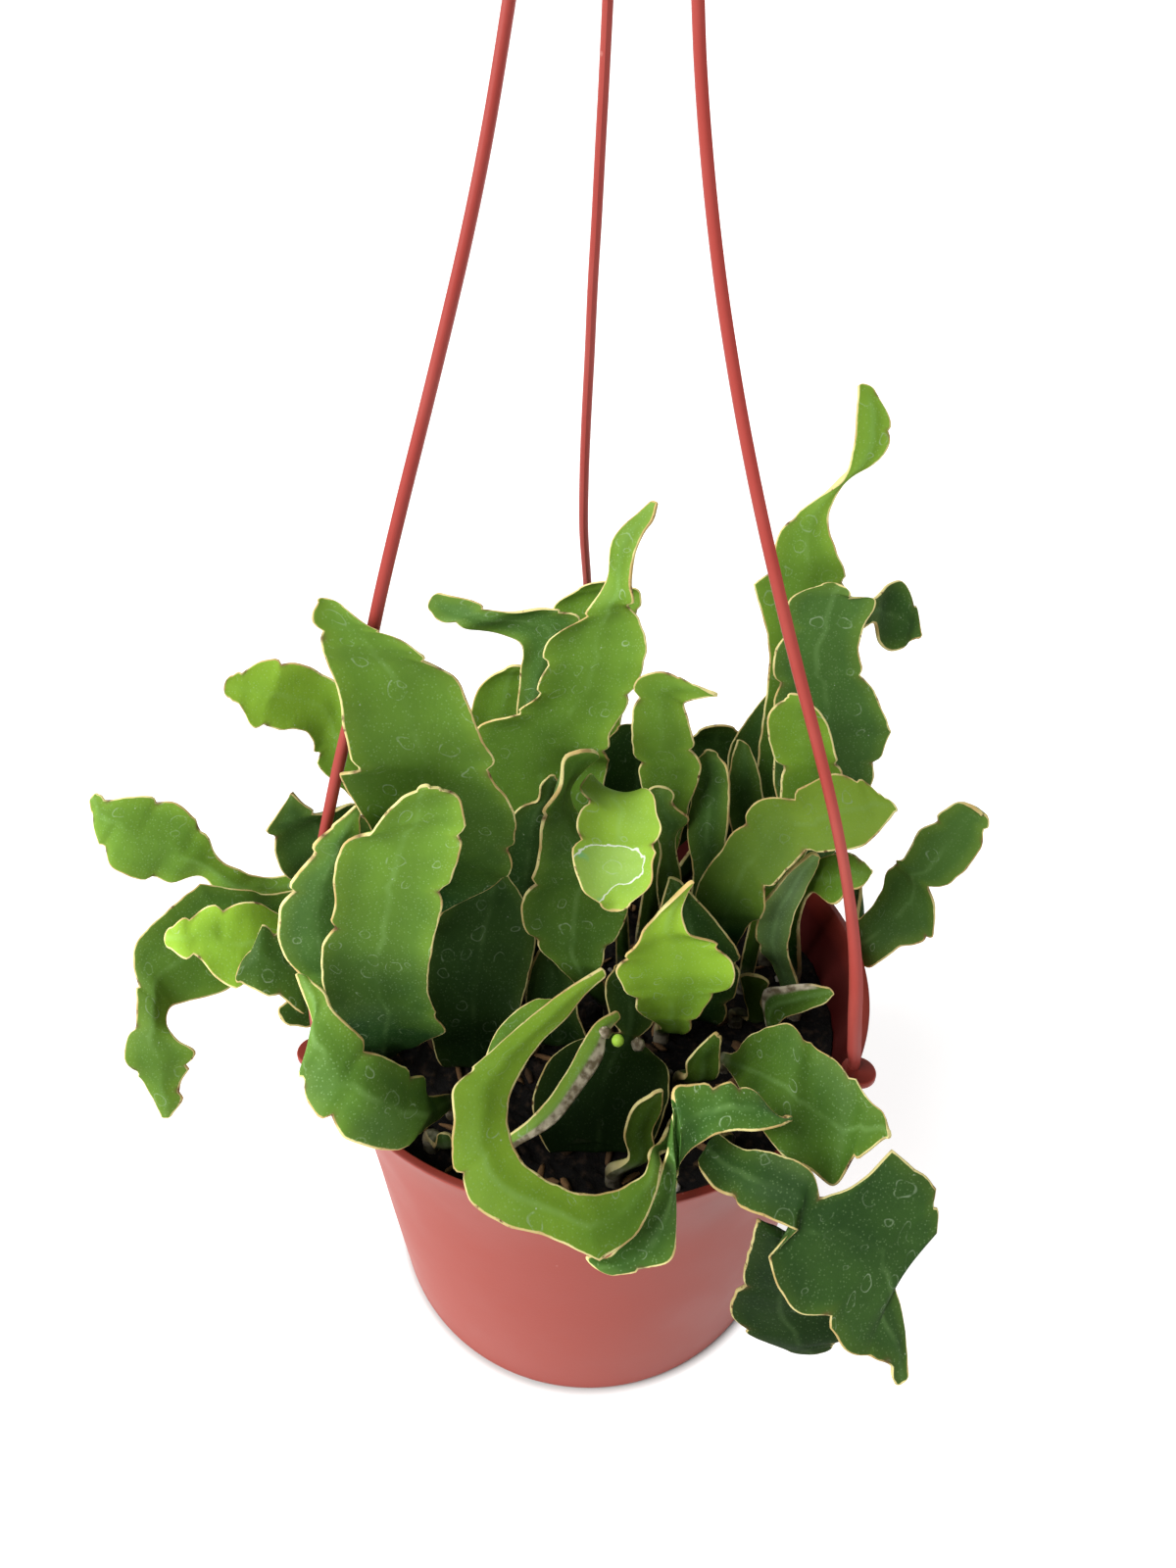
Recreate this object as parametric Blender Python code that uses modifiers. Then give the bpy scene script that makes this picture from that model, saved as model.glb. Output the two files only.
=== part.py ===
"""Potted orchid cactus: a clump of flat, waved and curled stems in a plastic hanging pot, stood on its base.

Sizes are named in millimetres and turned into metres where a mesh is made. The origin is the middle of the
pot's base, +Z is up, and the photograph is taken from the -Y side. Every stem is a thin strip lofted between
two edge lines, left and right as the photograph shows them, from the soil to the tip.
"""

from collections import namedtuple
from math import cos, radians, sin

import bmesh
import bpy
import numpy as np
from mathutils import Matrix

MM = 0.001
MERGE = 0.0001

# Pot, millimetres
POT_HEIGHT = 115.3
RIM_RADIUS = 76.1
BASE_RADIUS = 61.6
WALL = 1.9
FLOOR = 2.6
POT_SIDES = 60
# Outer side of the pot, radius and height, from the base up to the flared rim
POT_SIDE = (
    (BASE_RADIUS, 0.0),
    (62.3, 1.5),
    (62.8, 8.0),
    (64.9, 38.0),
    (66.3, 60.0),
    (67.8, 78.0),
    (69.7, 92.0),
    (72.4, 104.0),
    (RIM_RADIUS, POT_HEIGHT - 0.5),
    (RIM_RADIUS - 0.4, POT_HEIGHT),
)
DRAINS = 6
FIRST_DRAIN = -103.5
DRAIN_WIDTH = 7.2
DRAIN_HEIGHT = 1.4
DRAIN_HOLE_RADIUS = 3.6
DRAIN_HOLE_AT = 48.0
# How far a cutter runs past what it cuts
PASS = 3.0
ROD_SIDES = 10
ROUND_SIDES = 24

# Ears on the rim, one for each strand of the hanger
STRANDS = 3
BACK_STRAND = 87.75
EAR_TURN = 117.5
EAR_AT = 76.6
EAR_RADIUS = 4.3
EAR_TOP = POT_HEIGHT - 0.2
EAR_THICK = 2.2
SOCKET_AT = 75.2
SOCKET_RADIUS = 1.75
SOCKET_DEPTH = 1.8

# Soil
SOIL_TOP = 98.0
SEAT_GAP = 0.3
# How near to the floor or the top a listed height of the wall may lie before it is left out
CLOSE = 1.0
ROOT_HOLE_RADIUS = 3.5
ROOT_DEPTH = 8.0
ROOT_RISE = 3.0
ROOT_HALF_WIDTH = 2.2

# Stems
EDGE_THICK = 1.0
RIB_THICK = 2.2
ROOT_EDGE_THICK = 3.0
ROOT_RIB_THICK = 4.0
STATION_STEP = 6.5
MOST_STEPS = 4
# How many rows the thicker foot of a stem takes to thin out
FOOT_ROWS = 1.2
DIP_DEPTH = 1.8
DIP_SHARE = 0.12
DIP_REACH = 0.3
DIP_SHOULDER = 0.2
DIP_ROUND = 1.5
CROWDED = 0.12
NARROW = 20.0

# Hanger: height and half-thickness of the strands, then the radius and the sideways step of the right,
# back and left strand. They bow out and lean a little to the left, and each foot steps over to its ear.
FOOT_HEIGHT = EAR_TOP - SOCKET_DEPTH + SEAT_GAP
HUB_HEIGHT = 368.0
STRAND = (
    (FOOT_HEIGHT, 1.2, (75.1, 3.3), (75.2, 0.0), (75.1, -3.3)),
    (EAR_TOP, 1.2, (75.1, 3.3), (75.2, 0.0), (75.1, -3.3)),
    (EAR_TOP + 1.5, 1.25, (75.1, 3.3), (75.2, 0.0), (75.1, -3.3)),
    (121.0, 1.5, (74.7, 2.3), (74.9, 0.0), (74.8, -2.3)),
    (127.0, 1.5, (74.2, 1.2), (74.5, 0.1), (74.5, -1.2)),
    (135.0, 1.5, (73.3, 0.3), (73.8, 0.4), (74.0, -0.3)),
    (146.0, 1.45, (71.8, 0.0), (72.4, 0.9), (72.9, 0.0)),
    (158.0, 1.3, (69.3, 0.0), (70.1, 1.5), (70.9, 0.0)),
    (173.0, 1.15, (65.2, 0.0), (66.3, 2.2), (67.3, 0.0)),
    (188.0, 1.15, (60.2, 0.0), (61.4, 3.0), (62.6, 0.0)),
    (204.0, 1.18, (54.0, 0.0), (55.5, 3.6), (57.0, 0.0)),
    (220.0, 1.2, (47.4, 0.0), (48.9, 4.2), (50.6, 0.0)),
    (235.0, 1.18, (41.5, 0.0), (43.4, 3.9), (45.4, 0.0)),
    (250.0, 1.17, (35.9, 0.0), (37.9, 3.2), (39.9, 0.0)),
    (265.0, 1.13, (30.8, 0.0), (32.5, 2.3), (34.2, 0.0)),
    (280.0, 1.1, (26.3, 0.0), (27.4, 1.5), (28.6, 0.0)),
    (292.0, 1.07, (23.2, 0.0), (23.8, 0.7), (24.3, 0.0)),
    (304.0, 1.04, (20.6, 0.0), (20.5, 0.0), (20.4, 0.0)),
    (316.0, 1.0, (18.5, 0.0), (17.7, -0.7), (17.0, 0.0)),
    (330.0, 1.0, (16.7, 0.0), (15.2, -1.3), (13.5, 0.0)),
    (344.0, 1.0, (14.4, 0.0), (12.7, -1.3), (10.9, 0.0)),
    (357.0, 1.1, (10.6, 0.0), (9.8, -0.7), (8.6, 0.0)),
    (HUB_HEIGHT, 1.1, (6.0, 0.0), (6.0, 0.0), (6.0, 0.0)),
)
STRAND_SIDES = 8
HUB = (
    (0.0, HUB_HEIGHT + 4.0),
    (4.0, HUB_HEIGHT + 4.0),
    (9.0, HUB_HEIGHT - 1.0),
    (9.0, HUB_HEIGHT - 3.0),
    (8.0, HUB_HEIGHT - 4.0),
    (0.0, HUB_HEIGHT - 4.0),
)
HOOK_WIRE = 2.0
HOOK_RADIUS = 13.0
HOOK_MIDDLE = HUB_HEIGHT + 41.0
HOOK_FOOT = ((0.0, 0.0, HUB_HEIGHT), (0.0, 0.0, HUB_HEIGHT + 10.0), (-4.0, 0.0, HUB_HEIGHT + 17.0))
HOOK_TURNS = (205, 180, 150, 120, 90, 60, 30, 0, -20)

# Colours as red, green and blue, with roughness
FINISHES = {
    "pot": ((0.50, 0.13, 0.085), 0.42),
    "hanger": ((0.44, 0.075, 0.055), 0.38),
    "soil": ((0.012, 0.009, 0.007), 0.95),
    "mid": ((0.10, 0.25, 0.045), 0.48),
    "dark": ((0.03, 0.085, 0.025), 0.50),
    "lime": ((0.28, 0.50, 0.035), 0.45),
    "light": ((0.20, 0.38, 0.075), 0.48),
    "grey": ((0.15, 0.26, 0.13), 0.55),
}

Blade = namedtuple(
    "Blade",
    "name finish root cup left right left_dips right_dips left_corners right_corners",
    defaults=((), (), (), ()),
)

# Stems: the place of the root on the soil, the lift of the middle rib, and both edges from root to tip.
# A dip is a scallop in an edge, and a corner a sharp turn in it, each given by its place among the points.
BLADES = (
    Blade(
        "tall_left", "mid", root=(-55, 8), cup=2,
        left=((-51, -14, 139), (-48, -20, 158), (-47, -27, 175), (-47, -33, 187), (-50, -33, 195),
              (-51, -34, 200), (-48, -34, 202), (-49, -32, 210), (-49, -31, 216), (-51, -29, 222),
              (-52, -29, 226), (-53, -28, 228), (-53, -26, 231), (-52, -25, 233)),
        right=((-43, -14, 139), (-24, -16, 155), (-19, -20, 163), (-17, -22, 176), (-17, -25, 185),
               (-20, -27, 193), (-20, -27, 198), (-23, -28, 207), (-26, -26, 216), (-29, -27, 220),
               (-33, -28, 224), (-37, -27, 227), (-42, -27, 229), (-47, -25, 232)),
        left_dips=(5.9, 11.2), right_dips=(2.6, 5.8, 9.5, 11.4), left_corners=(5,),
    ),
    Blade(
        "front_left_broad", "mid", root=(-55, -24), cup=2,
        left=((-57, -43, 133), (-58, -47, 149), (-58, -46, 158), (-57, -44, 164), (-54, -42, 172),
              (-53, -41, 181), (-50, -39, 187), (-45, -40, 189), (-42, -39, 193), (-38, -38, 197),
              (-35, -37, 198)),
        right=((-41, -35, 121), (-34, -40, 131), (-37, -39, 140), (-36, -40, 152), (-33, -39, 165),
               (-28, -37, 180), (-26, -36, 186), (-26, -36, 192), (-27, -35, 196), (-29, -36, 198),
               (-32, -37, 199)),
        left_dips=(3.4, 6.6), right_dips=(1.5, 4.5, 6.2, 9),
    ),
    Blade(
        "left_dark", "dark", root=(-58, -14), cup=0.5,
        left=((-57, -43, 143), (-65, -42, 152), (-68, -41, 160), (-66, -39, 171), (-60, -37, 180),
              (-57, -36, 185), (-52, -32, 188), (-50, -30, 189)),
        right=((-49, -36, 140), (-52, -35, 147), (-53, -35, 155), (-53, -33, 166), (-51, -33, 176),
               (-49, -32, 183), (-49, -31, 186), (-49, -30, 187)),
        left_dips=(3.2, 4.3, 5.4),
    ),
    Blade(
        "rim_fold_left", "mid", root=(-35, -38), cup=2,
        left=((-39, -47, 116), (-38, -52, 129), (-44, -57, 142), (-49, -56, 148), (-54, -53, 151),
              (-57, -49, 153), (-61, -46, 154)),
        right=((-38, -51, 110), (-42, -68, 125), (-51, -72, 135), (-59, -67, 140), (-61, -63, 144),
               (-59, -55, 148), (-64, -46, 155)),
        left_dips=(1.4, 2.6), right_dips=(2.4, 3.6),
    ),
    Blade(
        "left_triangle", "mid", root=(-61, 3), cup=1,
        left=((-68, 6, 122), (-71, -14, 133), (-76, -17, 141), (-81, -18, 144), (-83, -23, 140)),
        right=((-69, -4, 119), (-69, -28, 123), (-74, -30, 128), (-81, -30, 133), (-85, -29, 135)),
        left_dips=(2.5,), right_dips=(2.4,), left_corners=(3,), right_corners=(3,),
    ),
    Blade(
        "left_low", "mid", root=None, cup=0.5,
        left=((-68, -20, 132), (-73, -26, 129), (-76, -30, 128)),
        right=((-67, -25, 127), (-69, -31, 122), (-73, -33, 124)),
    ),
    Blade(
        "left_lime", "lime", root=(-59, 18), cup=1,
        left=((-67, 21, 121), (-80, -1, 131), (-86, -5, 139), (-91, -8, 142), (-98, -11, 143),
              (-102, -15, 143), (-104, -17, 142)),
        right=((-68, 13, 120), (-77, -17, 123), (-85, -22, 124), (-92, -23, 128), (-97, -22, 134),
               (-101, -22, 136), (-104, -21, 138)),
        left_dips=(3.4, 4.6), right_dips=(2.4, 4.4),
    ),
    Blade(
        "left_dangling", "mid", root=(-53, 29), cup=1,
        left=((-63, 31, 122), (-87, 13, 127), (-94, 7, 133), (-105, 4, 138), (-112, -4, 135),
              (-118, -11, 131), (-118, -16, 127), (-116, -24, 120), (-118, -29, 114), (-118, -33, 109),
              (-115, -34, 105), (-112, -37, 101), (-110, -39, 97)),
        right=((-65, 25, 119), (-86, 8, 121), (-93, -1, 125), (-94, -10, 119), (-97, -14, 116),
               (-106, -18, 116), (-109, -21, 117), (-109, -25, 115), (-105, -29, 114), (-100, -31, 111),
               (-104, -34, 105), (-104, -37, 101), (-107, -39, 97)),
        left_dips=(6.4, 7.6, 9.5), right_dips=(9.4, 10.7), left_corners=(3,),
    ),
    Blade(
        "left_far", "mid", root=(-46, 38), cup=1,
        left=((-53, 45, 121), (-87, 25, 124), (-96, 19, 128), (-99, 17, 132), (-104, 16, 137),
              (-106, 18, 145), (-113, 20, 153), (-120, 19, 156), (-128, 17, 157), (-132, 17, 158)),
        right=((-56, 39, 120), (-87, 21, 119), (-97, 15, 123), (-104, 12, 126), (-109, 13, 133),
               (-116, 10, 133), (-124, 8, 136), (-130, 8, 141), (-133, 11, 149), (-134, 15, 156)),
        left_dips=(5.2, 6.6, 8.4), right_dips=(5.6, 7.5, 8.6), left_corners=(5, 9), right_corners=(9,),
    ),
    Blade(
        "left_high_lime", "lime", root=(-42, 24), cup=1,
        left=((-56, 24, 136), (-73, 19, 167), (-72, 17, 176), (-75, 15, 180), (-83, 11, 182),
              (-86, 12, 186), (-89, 13, 190)),
        right=((-50, 26, 138), (-59, 20, 172), (-63, 22, 187), (-69, 22, 193), (-76, 20, 198),
               (-84, 18, 197), (-88, 16, 195)),
        left_dips=(1.3, 3.9, 5.5), right_dips=(4, 5.4), left_corners=(1,), right_corners=(4,),
    ),
    Blade(
        "left_shadow", "dark", root=(-49, 19), cup=1,
        left=((-60, 22, 124), (-73, 16, 129), (-81, 4, 140), (-83, 4, 150), (-84, 4, 156),
              (-81, 5, 160), (-77, 7, 165)),
        right=((-53, 19, 121), (-56, 18, 134), (-58, 14, 149), (-62, 13, 158), (-68, 8, 159),
               (-73, 7, 162), (-76, 7, 166)),
        left_dips=(3.6,), right_dips=(2.6, 4.4), left_corners=(4,),
    ),
    Blade(
        "back_centre_tall", "mid", root=(-10, 22), cup=1.5,
        left=((-25, 20, 136), (-31, 20, 160), (-30, 22, 176), (-22, 20, 181), (-16, 19, 186),
              (-13, 19, 193), (-11, 21, 202), (-3, 22, 208), (2, 25, 214), (4, 27, 218), (4, 26, 224),
              (6, 27, 228), (10, 29, 231), (13, 29, 234)),
        right=((0, 19, 136), (4, 20, 163), (5, 16, 172), (5, 16, 179), (10, 17, 188), (13, 19, 198),
               (13, 21, 204), (10, 23, 210), (10, 20, 213), (9, 21, 218), (10, 23, 224), (12, 25, 228),
               (14, 26, 231), (15, 28, 234)),
        left_dips=(3.3, 4.4, 5.4, 7), right_dips=(2.2, 4.2, 7.6),
    ),
    Blade(
        "back_left_curl", "dark", root=(-15, 37), cup=1,
        left=((-21, 40, 160), (-20, 41, 179), (-19, 41, 191), (-27, 42, 194), (-35, 41, 196),
              (-41, 43, 197), (-43, 44, 199)),
        right=((-12, 40, 160), (-11, 40, 179), (-3, 39, 199), (-11, 40, 202), (-22, 40, 201),
               (-32, 43, 203), (-40, 45, 204)),
        left_dips=(4.4,), right_dips=(2.6, 4.5),
    ),
    Blade(
        "back_round", "mid", root=(-28, 46), cup=1,
        left=((-34, 47, 141), (-35, 44, 162), (-33, 44, 173), (-29, 44, 179), (-24, 44, 182)),
        right=((-19, 47, 141), (-17, 44, 162), (-16, 44, 173), (-17, 45, 179), (-19, 44, 182)),
    ),
    Blade(
        "back_top", "mid", root=(1, 48), cup=1,
        left=((-4, 42, 144), (-8, 43, 177), (-10, 45, 194), (-10, 47, 200), (-4, 48, 204)),
        right=((6, 42, 144), (10, 43, 177), (13, 45, 194), (13, 48, 203), (9, 47, 205)),
        right_dips=(2.4,),
    ),
    Blade(
        "centre_curl", "mid", root=(16, 22), cup=1,
        left=((16, 14, 143), (15, 12, 158), (11, 13, 172), (10, 12, 182), (10, 14, 191), (11, 15, 195),
              (17, 14, 198), (22, 12, 197), (28, 9, 195)),
        right=((24, 14, 143), (26, 12, 160), (28, 10, 172), (25, 11, 182), (23, 12, 189), (23, 11, 191),
               (24, 10, 192), (26, 9, 193), (30, 9, 194)),
        left_dips=(2, 4, 6.6, 7.3), right_dips=(2.5,),
    ),
    Blade(
        "front_centre", "mid", root=(6, -5), cup=1,
        left=((-6, -17, 126), (-13, -18, 136), (-17, -17, 145), (-16, -17, 154), (-13, -18, 162),
              (-12, -17, 171), (-11, -18, 178), (-8, -18, 185), (-6, -17, 192), (-3, -17, 194)),
        right=((3, -17, 126), (4, -17, 132), (9, -13, 142), (9, -12, 148), (8, -11, 156), (3, -8, 163),
               (-3, -6, 169), (-5, -5, 175), (-2, -4, 181), (1, -5, 185)),
        left_dips=(1.4, 3.4, 6), right_dips=(1.3,),
    ),
    Blade(
        "pale_centre", "light", root=(10, 10), cup=-5,
        left=((6, 7, 135), (2, 1, 155), (1, -1, 168), (0, -3, 179), (-3, -11, 180), (-2, -15, 179),
              (-4, -21, 176), (-4, -27, 172), (-2, -32, 168), (2, -33, 165)),
        right=((10, 7, 135), (9, 1, 156), (9, -1, 168), (12, -5, 176), (14, -11, 180), (15, -17, 178),
               (16, -22, 176), (14, -28, 173), (13, -32, 169), (9, -33, 165)),
        left_dips=(4.9, 6.3), right_dips=(6.5,),
    ),
    Blade(
        "small_dark", "dark", root=(25, 20), cup=1,
        left=((18, 7, 135), (18, 3, 151), (16, 3, 158), (15, 4, 164), (14, 4, 169)),
        right=((25, 7, 136), (22, 4, 154), (25, 3, 161), (22, 3, 165), (21, 4, 168)),
        right_dips=(1.5, 3.5),
    ),
    Blade(
        "lime_star", "lime", root=(20, -13), cup=2,
        left=((18, -26, 117), (12, -31, 128), (7, -32, 139), (6, -32, 145), (10, -32, 151),
              (12, -31, 155), (15, -30, 159), (18, -30, 163), (21, -29, 166)),
        right=((25, -27, 116), (28, -31, 129), (34, -31, 137), (34, -30, 143), (30, -29, 149),
               (23, -30, 153), (21, -29, 159), (22, -28, 164), (23, -28, 167)),
        left_dips=(1.5, 3.3), right_dips=(0.6, 1.6, 3.8),
    ),
    Blade(
        "star_shade", "dark", root=(31, -3), cup=1,
        left=((20, -13, 107), (16, -16, 119), (15, -16, 132), (17, -14, 145), (19, -12, 154)),
        right=((35, -17, 108), (38, -19, 123), (38, -18, 134), (32, -16, 143), (23, -13, 153)),
        left_dips=(1.5,), right_dips=(0.7, 1.8),
    ),
    Blade(
        "front_curl", "lime", root=(22, -44), cup=1.5,
        left=((16, -61, 119), (13, -67, 124), (12, -75, 130), (10, -79, 132), (4, -82, 132),
              (-2, -83, 133), (-8, -81, 134), (-13, -78, 135), (-16, -74, 138), (-17, -68, 140),
              (-15, -63, 143), (-11, -57, 146), (-5, -52, 149), (-1, -48, 152), (3, -45, 154)),
        right=((18, -62, 117), (15, -68, 123), (15, -76, 131), (13, -83, 131), (9, -89, 128),
               (2, -93, 126), (-8, -90, 129), (-19, -87, 130), (-27, -80, 133), (-28, -71, 141),
               (-28, -65, 144), (-23, -61, 146), (-15, -54, 149), (-6, -48, 153), (2, -44, 156)),
        right_dips=(8, 10.5), right_corners=(5,),
    ),
    Blade(
        "front_fold", "mid", root=None, cup=1,
        left=((44, -60, 127), (41, -61, 128), (36, -57, 132), (30, -57, 135), (24, -58, 135),
              (18, -60, 136), (18, -66, 131), (14, -76, 126), (9, -82, 119), (4, -87, 117),
              (0, -88, 119)),
        right=((44, -61, 126), (42, -63, 127), (36, -65, 128), (29, -66, 129), (23, -68, 127),
               (19, -72, 126), (18, -77, 124), (18, -83, 119), (17, -87, 116), (11, -89, 115),
               (5, -90, 115)),
        left_dips=(2.6, 3.5), right_dips=(9,),
    ),
    Blade(
        "front_fold_stalk", "mid", root=(30, -37), cup=0,
        left=((27, -45, 114), (24, -55, 125), (23, -63, 132)),
        right=((30, -46, 114), (27, -56, 125), (25, -63, 132)),
    ),
    Blade(
        "front_lobe", "mid", root=(6, -57), cup=1,
        left=((9, -57, 106), (8, -55, 113), (10, -53, 120), (14, -52, 123)),
        right=((15, -57, 107), (15, -54, 113), (17, -52, 118), (17, -51, 123)),
    ),
    Blade(
        "right_broad", "mid", root=(36, -24), cup=2,
        left=((38, -27, 108), (42, -31, 121), (49, -35, 128), (54, -41, 126), (60, -46, 126),
              (63, -53, 125), (66, -58, 125), (66, -62, 125)),
        right=((37, -33, 106), (39, -52, 115), (43, -65, 119), (49, -67, 117), (54, -69, 114),
               (58, -67, 119), (64, -64, 123), (66, -63, 123)),
        left_dips=(2.5, 4.2), right_dips=(5,),
    ),
    Blade(
        "right_overhang", "dark", root=(34, -48), cup=1,
        left=((30, -59, 118), (34, -65, 122), (40, -69, 126), (46, -73, 127), (50, -77, 124),
              (57, -76, 127), (63, -72, 132), (73, -76, 125), (73, -81, 117), (64, -86, 108),
              (67, -91, 98), (68, -97, 90)),
        right=((24, -68, 120), (29, -76, 120), (35, -80, 121), (43, -83, 120), (37, -86, 115),
               (39, -89, 110), (43, -92, 105), (49, -93, 103), (54, -96, 97), (59, -96, 95),
               (63, -97, 92), (65, -98, 88)),
        left_dips=(3.9, 7.3), right_dips=(1.2, 7, 10.3), left_corners=(6, 7, 8, 9), right_corners=(3, 4),
    ),
    Blade(
        "overhang_branch", "dark", root=None, cup=1,
        left=((35, -80, 119), (34, -81, 104), (32, -83, 87), (37, -85, 81), (45, -87, 78)),
        right=((43, -82, 116), (48, -84, 104), (54, -84, 93), (58, -87, 85), (55, -87, 81)),
        left_dips=(1.4, 2.6), right_dips=(3.5,),
    ),
    Blade(
        "back_right_tall", "mid", root=(40, 34), cup=1,
        left=((45, 29, 136), (46, 30, 173), (46, 33, 194), (41, 38, 210), (45, 39, 216), (47, 41, 224),
              (52, 41, 229), (57, 41, 233), (60, 41, 236), (62, 43, 239), (63, 46, 245), (63, 48, 250),
              (63, 50, 255)),
        right=((56, 29, 136), (60, 30, 173), (62, 32, 196), (65, 35, 209), (63, 36, 215), (59, 38, 223),
               (58, 39, 228), (60, 41, 233), (62, 42, 236), (68, 43, 239), (72, 45, 244), (71, 47, 249),
               (68, 50, 254)),
        left_dips=(3.6, 5.5), right_dips=(3.4, 10.4, 12), left_corners=(3,),
    ),
    Blade(
        "right_dark", "dark", root=(53, 16), cup=1.5,
        left=((54, 14, 138), (48, 15, 164), (47, 16, 175), (46, 19, 187), (45, 21, 198), (47, 23, 205),
              (48, 25, 212), (55, 26, 215)),
        right=((67, 14, 142), (73, 13, 165), (76, 16, 180), (72, 17, 188), (66, 20, 199), (66, 21, 206),
               (68, 22, 213), (62, 23, 213)),
        left_dips=(3.4, 5), right_dips=(1.4, 3.6), right_corners=(2,),
    ),
    Blade(
        "right_dark_tip", "dark", root=None, cup=1,
        left=((63, 24, 209), (70, 29, 211), (74, 34, 212), (78, 36, 212), (81, 35, 209), (83, 33, 204),
              (84, 31, 200)),
        right=((66, 21, 206), (70, 26, 205), (72, 26, 200), (75, 27, 197), (79, 28, 197), (81, 30, 198),
               (83, 30, 199)),
        left_dips=(4.3,),
    ),
    Blade(
        "right_small_lime", "lime", root=(45, 4), cup=1,
        left=((45, 7, 124), (49, 6, 148), (47, 4, 172), (44, 5, 181), (42, 5, 189), (43, 5, 194),
              (46, 5, 196)),
        right=((50, 6, 124), (58, 6, 152), (62, 3, 175), (59, 2, 182), (56, 3, 190), (53, 3, 194),
               (50, 4, 196)),
        left_dips=(2.4, 5.5), right_dips=(2.5,),
    ),
    Blade(
        "right_light", "light", root=(37, 8), cup=2,
        left=((29, -6, 131), (27, -7, 147), (33, -5, 159), (40, -2, 170), (48, -3, 174), (58, -3, 180),
              (65, -5, 179), (69, -9, 177)),
        right=((41, -7, 133), (43, -15, 145), (44, -15, 153), (50, -13, 161), (58, -14, 165),
               (64, -15, 167), (69, -13, 172), (71, -12, 175)),
        left_dips=(2.6, 4, 5.6, 6.5), right_dips=(2, 3.4),
    ),
    Blade(
        "right_lime", "lime", root=(60, 8), cup=1,
        left=((54, 7, 128), (57, 2, 146), (61, -3, 155), (66, -6, 158), (68, -9, 157), (69, -10, 156)),
        right=((58, 4, 125), (58, -2, 141), (61, -12, 146), (64, -13, 151), (67, -13, 153),
               (69, -11, 155)),
        left_dips=(3.4,), right_dips=(3,),
    ),
    Blade(
        "right_grey", "grey", root=(58, -5), cup=1,
        left=((50, -4, 117), (44, -7, 128), (44, -7, 140), (46, -8, 147), (49, -8, 153), (54, -7, 158)),
        right=((57, -6, 113), (53, -7, 125), (53, -7, 137), (55, -6, 145), (57, -5, 152), (57, -6, 156)),
        left_dips=(1,),
    ),
    Blade(
        "right_far", "dark", root=(53, 27), cup=1,
        left=((60, 36, 120), (73, 41, 122), (82, 31, 118), (80, 21, 111), (85, 21, 121), (86, 22, 128),
              (87, 22, 131), (86, 21, 134), (89, 20, 135), (92, 22, 143), (98, 24, 149), (102, 24, 152),
              (105, 22, 152)),
        right=((62, 31, 120), (72, 34, 122), (80, 27, 110), (81, 10, 102), (90, 9, 111), (97, 7, 115),
               (98, 11, 123), (97, 13, 129), (101, 13, 132), (105, 14, 137), (109, 17, 143),
               (110, 20, 149), (108, 21, 150)),
        left_dips=(6.9, 9.6), right_dips=(5, 7, 10.4),
    ),
    Blade(
        "right_corky", "mid", root=(51, -18), cup=0.5,
        left=((46, -14, 116), (51, -15, 120), (57, -17, 123), (61, -18, 123)),
        right=((51, -18, 109), (57, -19, 115), (61, -20, 119), (63, -19, 121)),
    ),
    Blade(
        "right_small", "mid", root=(41, -8), cup=0.5,
        left=((44, -9, 101), (42, -10, 111), (40, -11, 119)),
        right=((50, -9, 100), (47, -11, 110), (48, -12, 118)),
    ),
    Blade(
        "front_small", "mid", root=(24, -30), cup=1,
        left=((24, -36, 110), (24, -37, 117), (28, -36, 123), (30, -36, 126)),
        right=((32, -37, 111), (32, -37, 120), (32, -37, 125), (31, -37, 126)),
    ),
    Blade(
        "left_back_dark", "dark", root=(-28, -20), cup=1.5,
        left=((-39, -26, 101), (-42, -22, 113), (-43, -18, 125), (-41, -12, 136), (-35, -8, 144),
              (-28, -4, 149)),
        right=((-22, -26, 100), (-19, -23, 114), (-16, -17, 124), (-14, -12, 134), (-16, -7, 140),
               (-21, -3, 147)),
    ),
    Blade(
        "front_dark", "dark", root=(-6, -46), cup=1,
        left=((-10, -52, 102), (-14, -45, 107), (-12, -37, 112), (-6, -31, 115), (3, -27, 115),
              (7, -26, 115), (5, -24, 118), (4, -21, 123), (4, -20, 127), (6, -18, 129)),
        right=((13, -52, 102), (19, -44, 108), (20, -38, 111), (19, -34, 112), (15, -30, 113),
               (13, -27, 113), (16, -25, 116), (17, -23, 121), (15, -20, 126), (11, -18, 129)),
        left_dips=(4.9,), right_dips=(4.9,),
    ),
    Blade(
        "corky_stem", "light", root=(-30, -48), cup=0,
        left=((-22, -56, 112), (-16, -57, 118), (-10, -53, 122), (-5, -46, 125), (-1, -39, 128),
              (2, -35, 129), (6, -32, 129)),
        right=((-20, -58, 110), (-15, -59, 115), (-8, -57, 119), (-2, -51, 123), (3, -44, 126),
               (4, -38, 127), (7, -33, 127)),
    ),
    Blade(
        "centre_dark", "dark", root=(28, 10), cup=1.5,
        left=((28, 9, 135), (26, 13, 149), (27, 16, 161), (27, 18, 168), (29, 16, 173)),
        right=((35, 9, 139), (36, 8, 153), (36, 11, 165), (35, 12, 171), (33, 16, 172)),
    ),
    Blade(
        "right_back_a", "dark", root=(33, 27), cup=1,
        left=((40, 23, 134), (37, 22, 154), (38, 25, 165), (39, 26, 170)),
        right=((51, 23, 138), (47, 21, 156), (45, 22, 164), (43, 25, 168)),
    ),
    Blade(
        "right_back_b", "dark", root=(27, 47), cup=1,
        left=((38, 36, 142), (39, 36, 161), (45, 38, 173), (50, 40, 179)),
        right=((56, 35, 145), (54, 35, 165), (53, 38, 176), (52, 39, 179)),
    ),
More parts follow.
